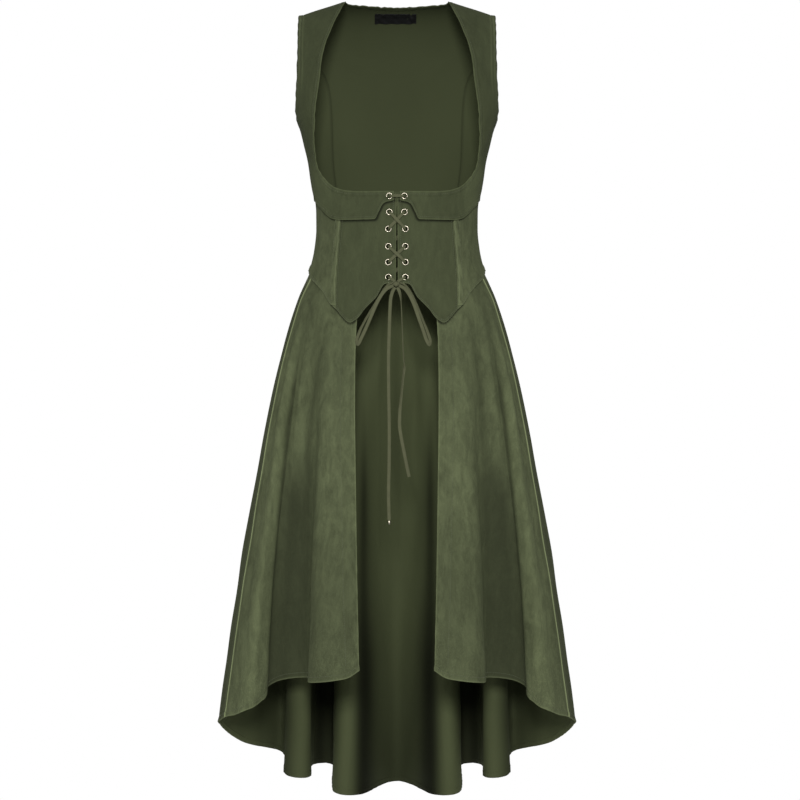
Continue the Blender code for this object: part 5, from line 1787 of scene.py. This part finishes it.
class GownStudio(bpy.types.PropertyGroup):
    """The floor, the lights and the camera."""
    floor: number_property("Floor", "Height of the floor below the shoulders", -1.46)
    distance: number_property("Distance", "Camera's distance from the gown's middle", 3.2)
    camera_x: number_property("Camera side", "Camera's place across", 0.005)
    camera_z: number_property("Camera height", "Camera's height", -0.657)
    view_angle: number_property("View", "Angle of view", 0.40668, unit="ROTATION")
    front_light: number_property("Front light", "Power of the front softbox", 128.0, unit="POWER")
    side_light: number_property("Side lights", "Power of each side softbox", 6.0, unit="POWER")
    back_light: number_property("Back light", "Power of the softbox behind the gown", 150.0, unit="POWER")
    air: number_property("Air", "Share of the air's light that falls on the gown", 0.33, subtype="FACTOR")


class GOWN_OT_stage(bpy.types.Operator):
    """Make the pale studio, its lights and the camera"""
    bl_idname = "gown.stage"
    bl_label = "Stage"

    def execute(self, context):
        make_stage()
        return {"FINISHED"}


class GOWN_OT_back(bpy.types.Operator):
    """Make the bodice's back panels"""
    bl_idname = "gown.back"
    bl_label = "Back"

    def execute(self, context):
        make_back()
        return {"FINISHED"}


class GOWN_OT_yokes(bpy.types.Operator):
    """Make the straps and the flap under the bust"""
    bl_idname = "gown.yokes"
    bl_label = "Straps and flap"

    def execute(self, context):
        make_yokes()
        return {"FINISHED"}


class GOWN_OT_corset(bpy.types.Operator):
    """Make the corset's panels and bone channels"""
    bl_idname = "gown.corset"
    bl_label = "Corset"

    def execute(self, context):
        make_corset()
        return {"FINISHED"}


class GOWN_OT_skirt(bpy.types.Operator):
    """Make the skirt's panels"""
    bl_idname = "gown.skirt"
    bl_label = "Skirt"

    def execute(self, context):
        make_skirt()
        return {"FINISHED"}


class GOWN_OT_eyelets(bpy.types.Operator):
    """Make the brass eyelets"""
    bl_idname = "gown.eyelets"
    bl_label = "Eyelets"

    def execute(self, context):
        make_eyelets()
        return {"FINISHED"}


class GOWN_OT_lacing(bpy.types.Operator):
    """Make the crossed lace"""
    bl_idname = "gown.lacing"
    bl_label = "Lacing"

    def execute(self, context):
        make_lacing()
        return {"FINISHED"}


class GOWN_OT_bow(bpy.types.Operator):
    """Make the bow with its loops and free ends"""
    bl_idname = "gown.bow"
    bl_label = "Bow"

    def execute(self, context):
        make_bow()
        return {"FINISHED"}


class GOWN_OT_label(bpy.types.Operator):
    """Make the blank neck label"""
    bl_idname = "gown.label"
    bl_label = "Label"

    def execute(self, context):
        make_label()
        return {"FINISHED"}


STEPS = (GOWN_OT_stage, GOWN_OT_bow, GOWN_OT_back, GOWN_OT_yokes, GOWN_OT_corset, GOWN_OT_skirt,
         GOWN_OT_eyelets, GOWN_OT_lacing, GOWN_OT_label)
GROUPS = {"gown_colours": GownColours, "gown_lace": GownLace, "gown_studio": GownStudio}


class GOWN_PT_panel(bpy.types.Panel):
    """Lists the gown's settings and steps"""
    bl_label = "Gown"
    bl_idname = "GOWN_PT_panel"
    bl_space_type = "VIEW_3D"
    bl_region_type = "UI"
    bl_category = "Gown"

    def draw(self, context):
        for group in GROUPS:
            settings = getattr(context.scene, group)
            box = self.layout.box()
            for name in settings.__annotations__:
                box.prop(settings, name)
        for step in STEPS:
            self.layout.operator(step.bl_idname)


def register():
    for cls in (*GROUPS.values(), *STEPS, GOWN_PT_panel):
        bpy.utils.register_class(cls)
    for name, group in GROUPS.items():
        setattr(bpy.types.Scene, name, bpy.props.PointerProperty(type=group))


def unregister():
    for name in GROUPS:
        delattr(bpy.types.Scene, name)
    for cls in reversed((*GROUPS.values(), *STEPS, GOWN_PT_panel)):
        bpy.utils.unregister_class(cls)


def main():
    register()
    for step in STEPS:
        group, name = step.bl_idname.split(".")
        getattr(getattr(bpy.ops, group), name)()


if __name__ == "__main__":
    main()
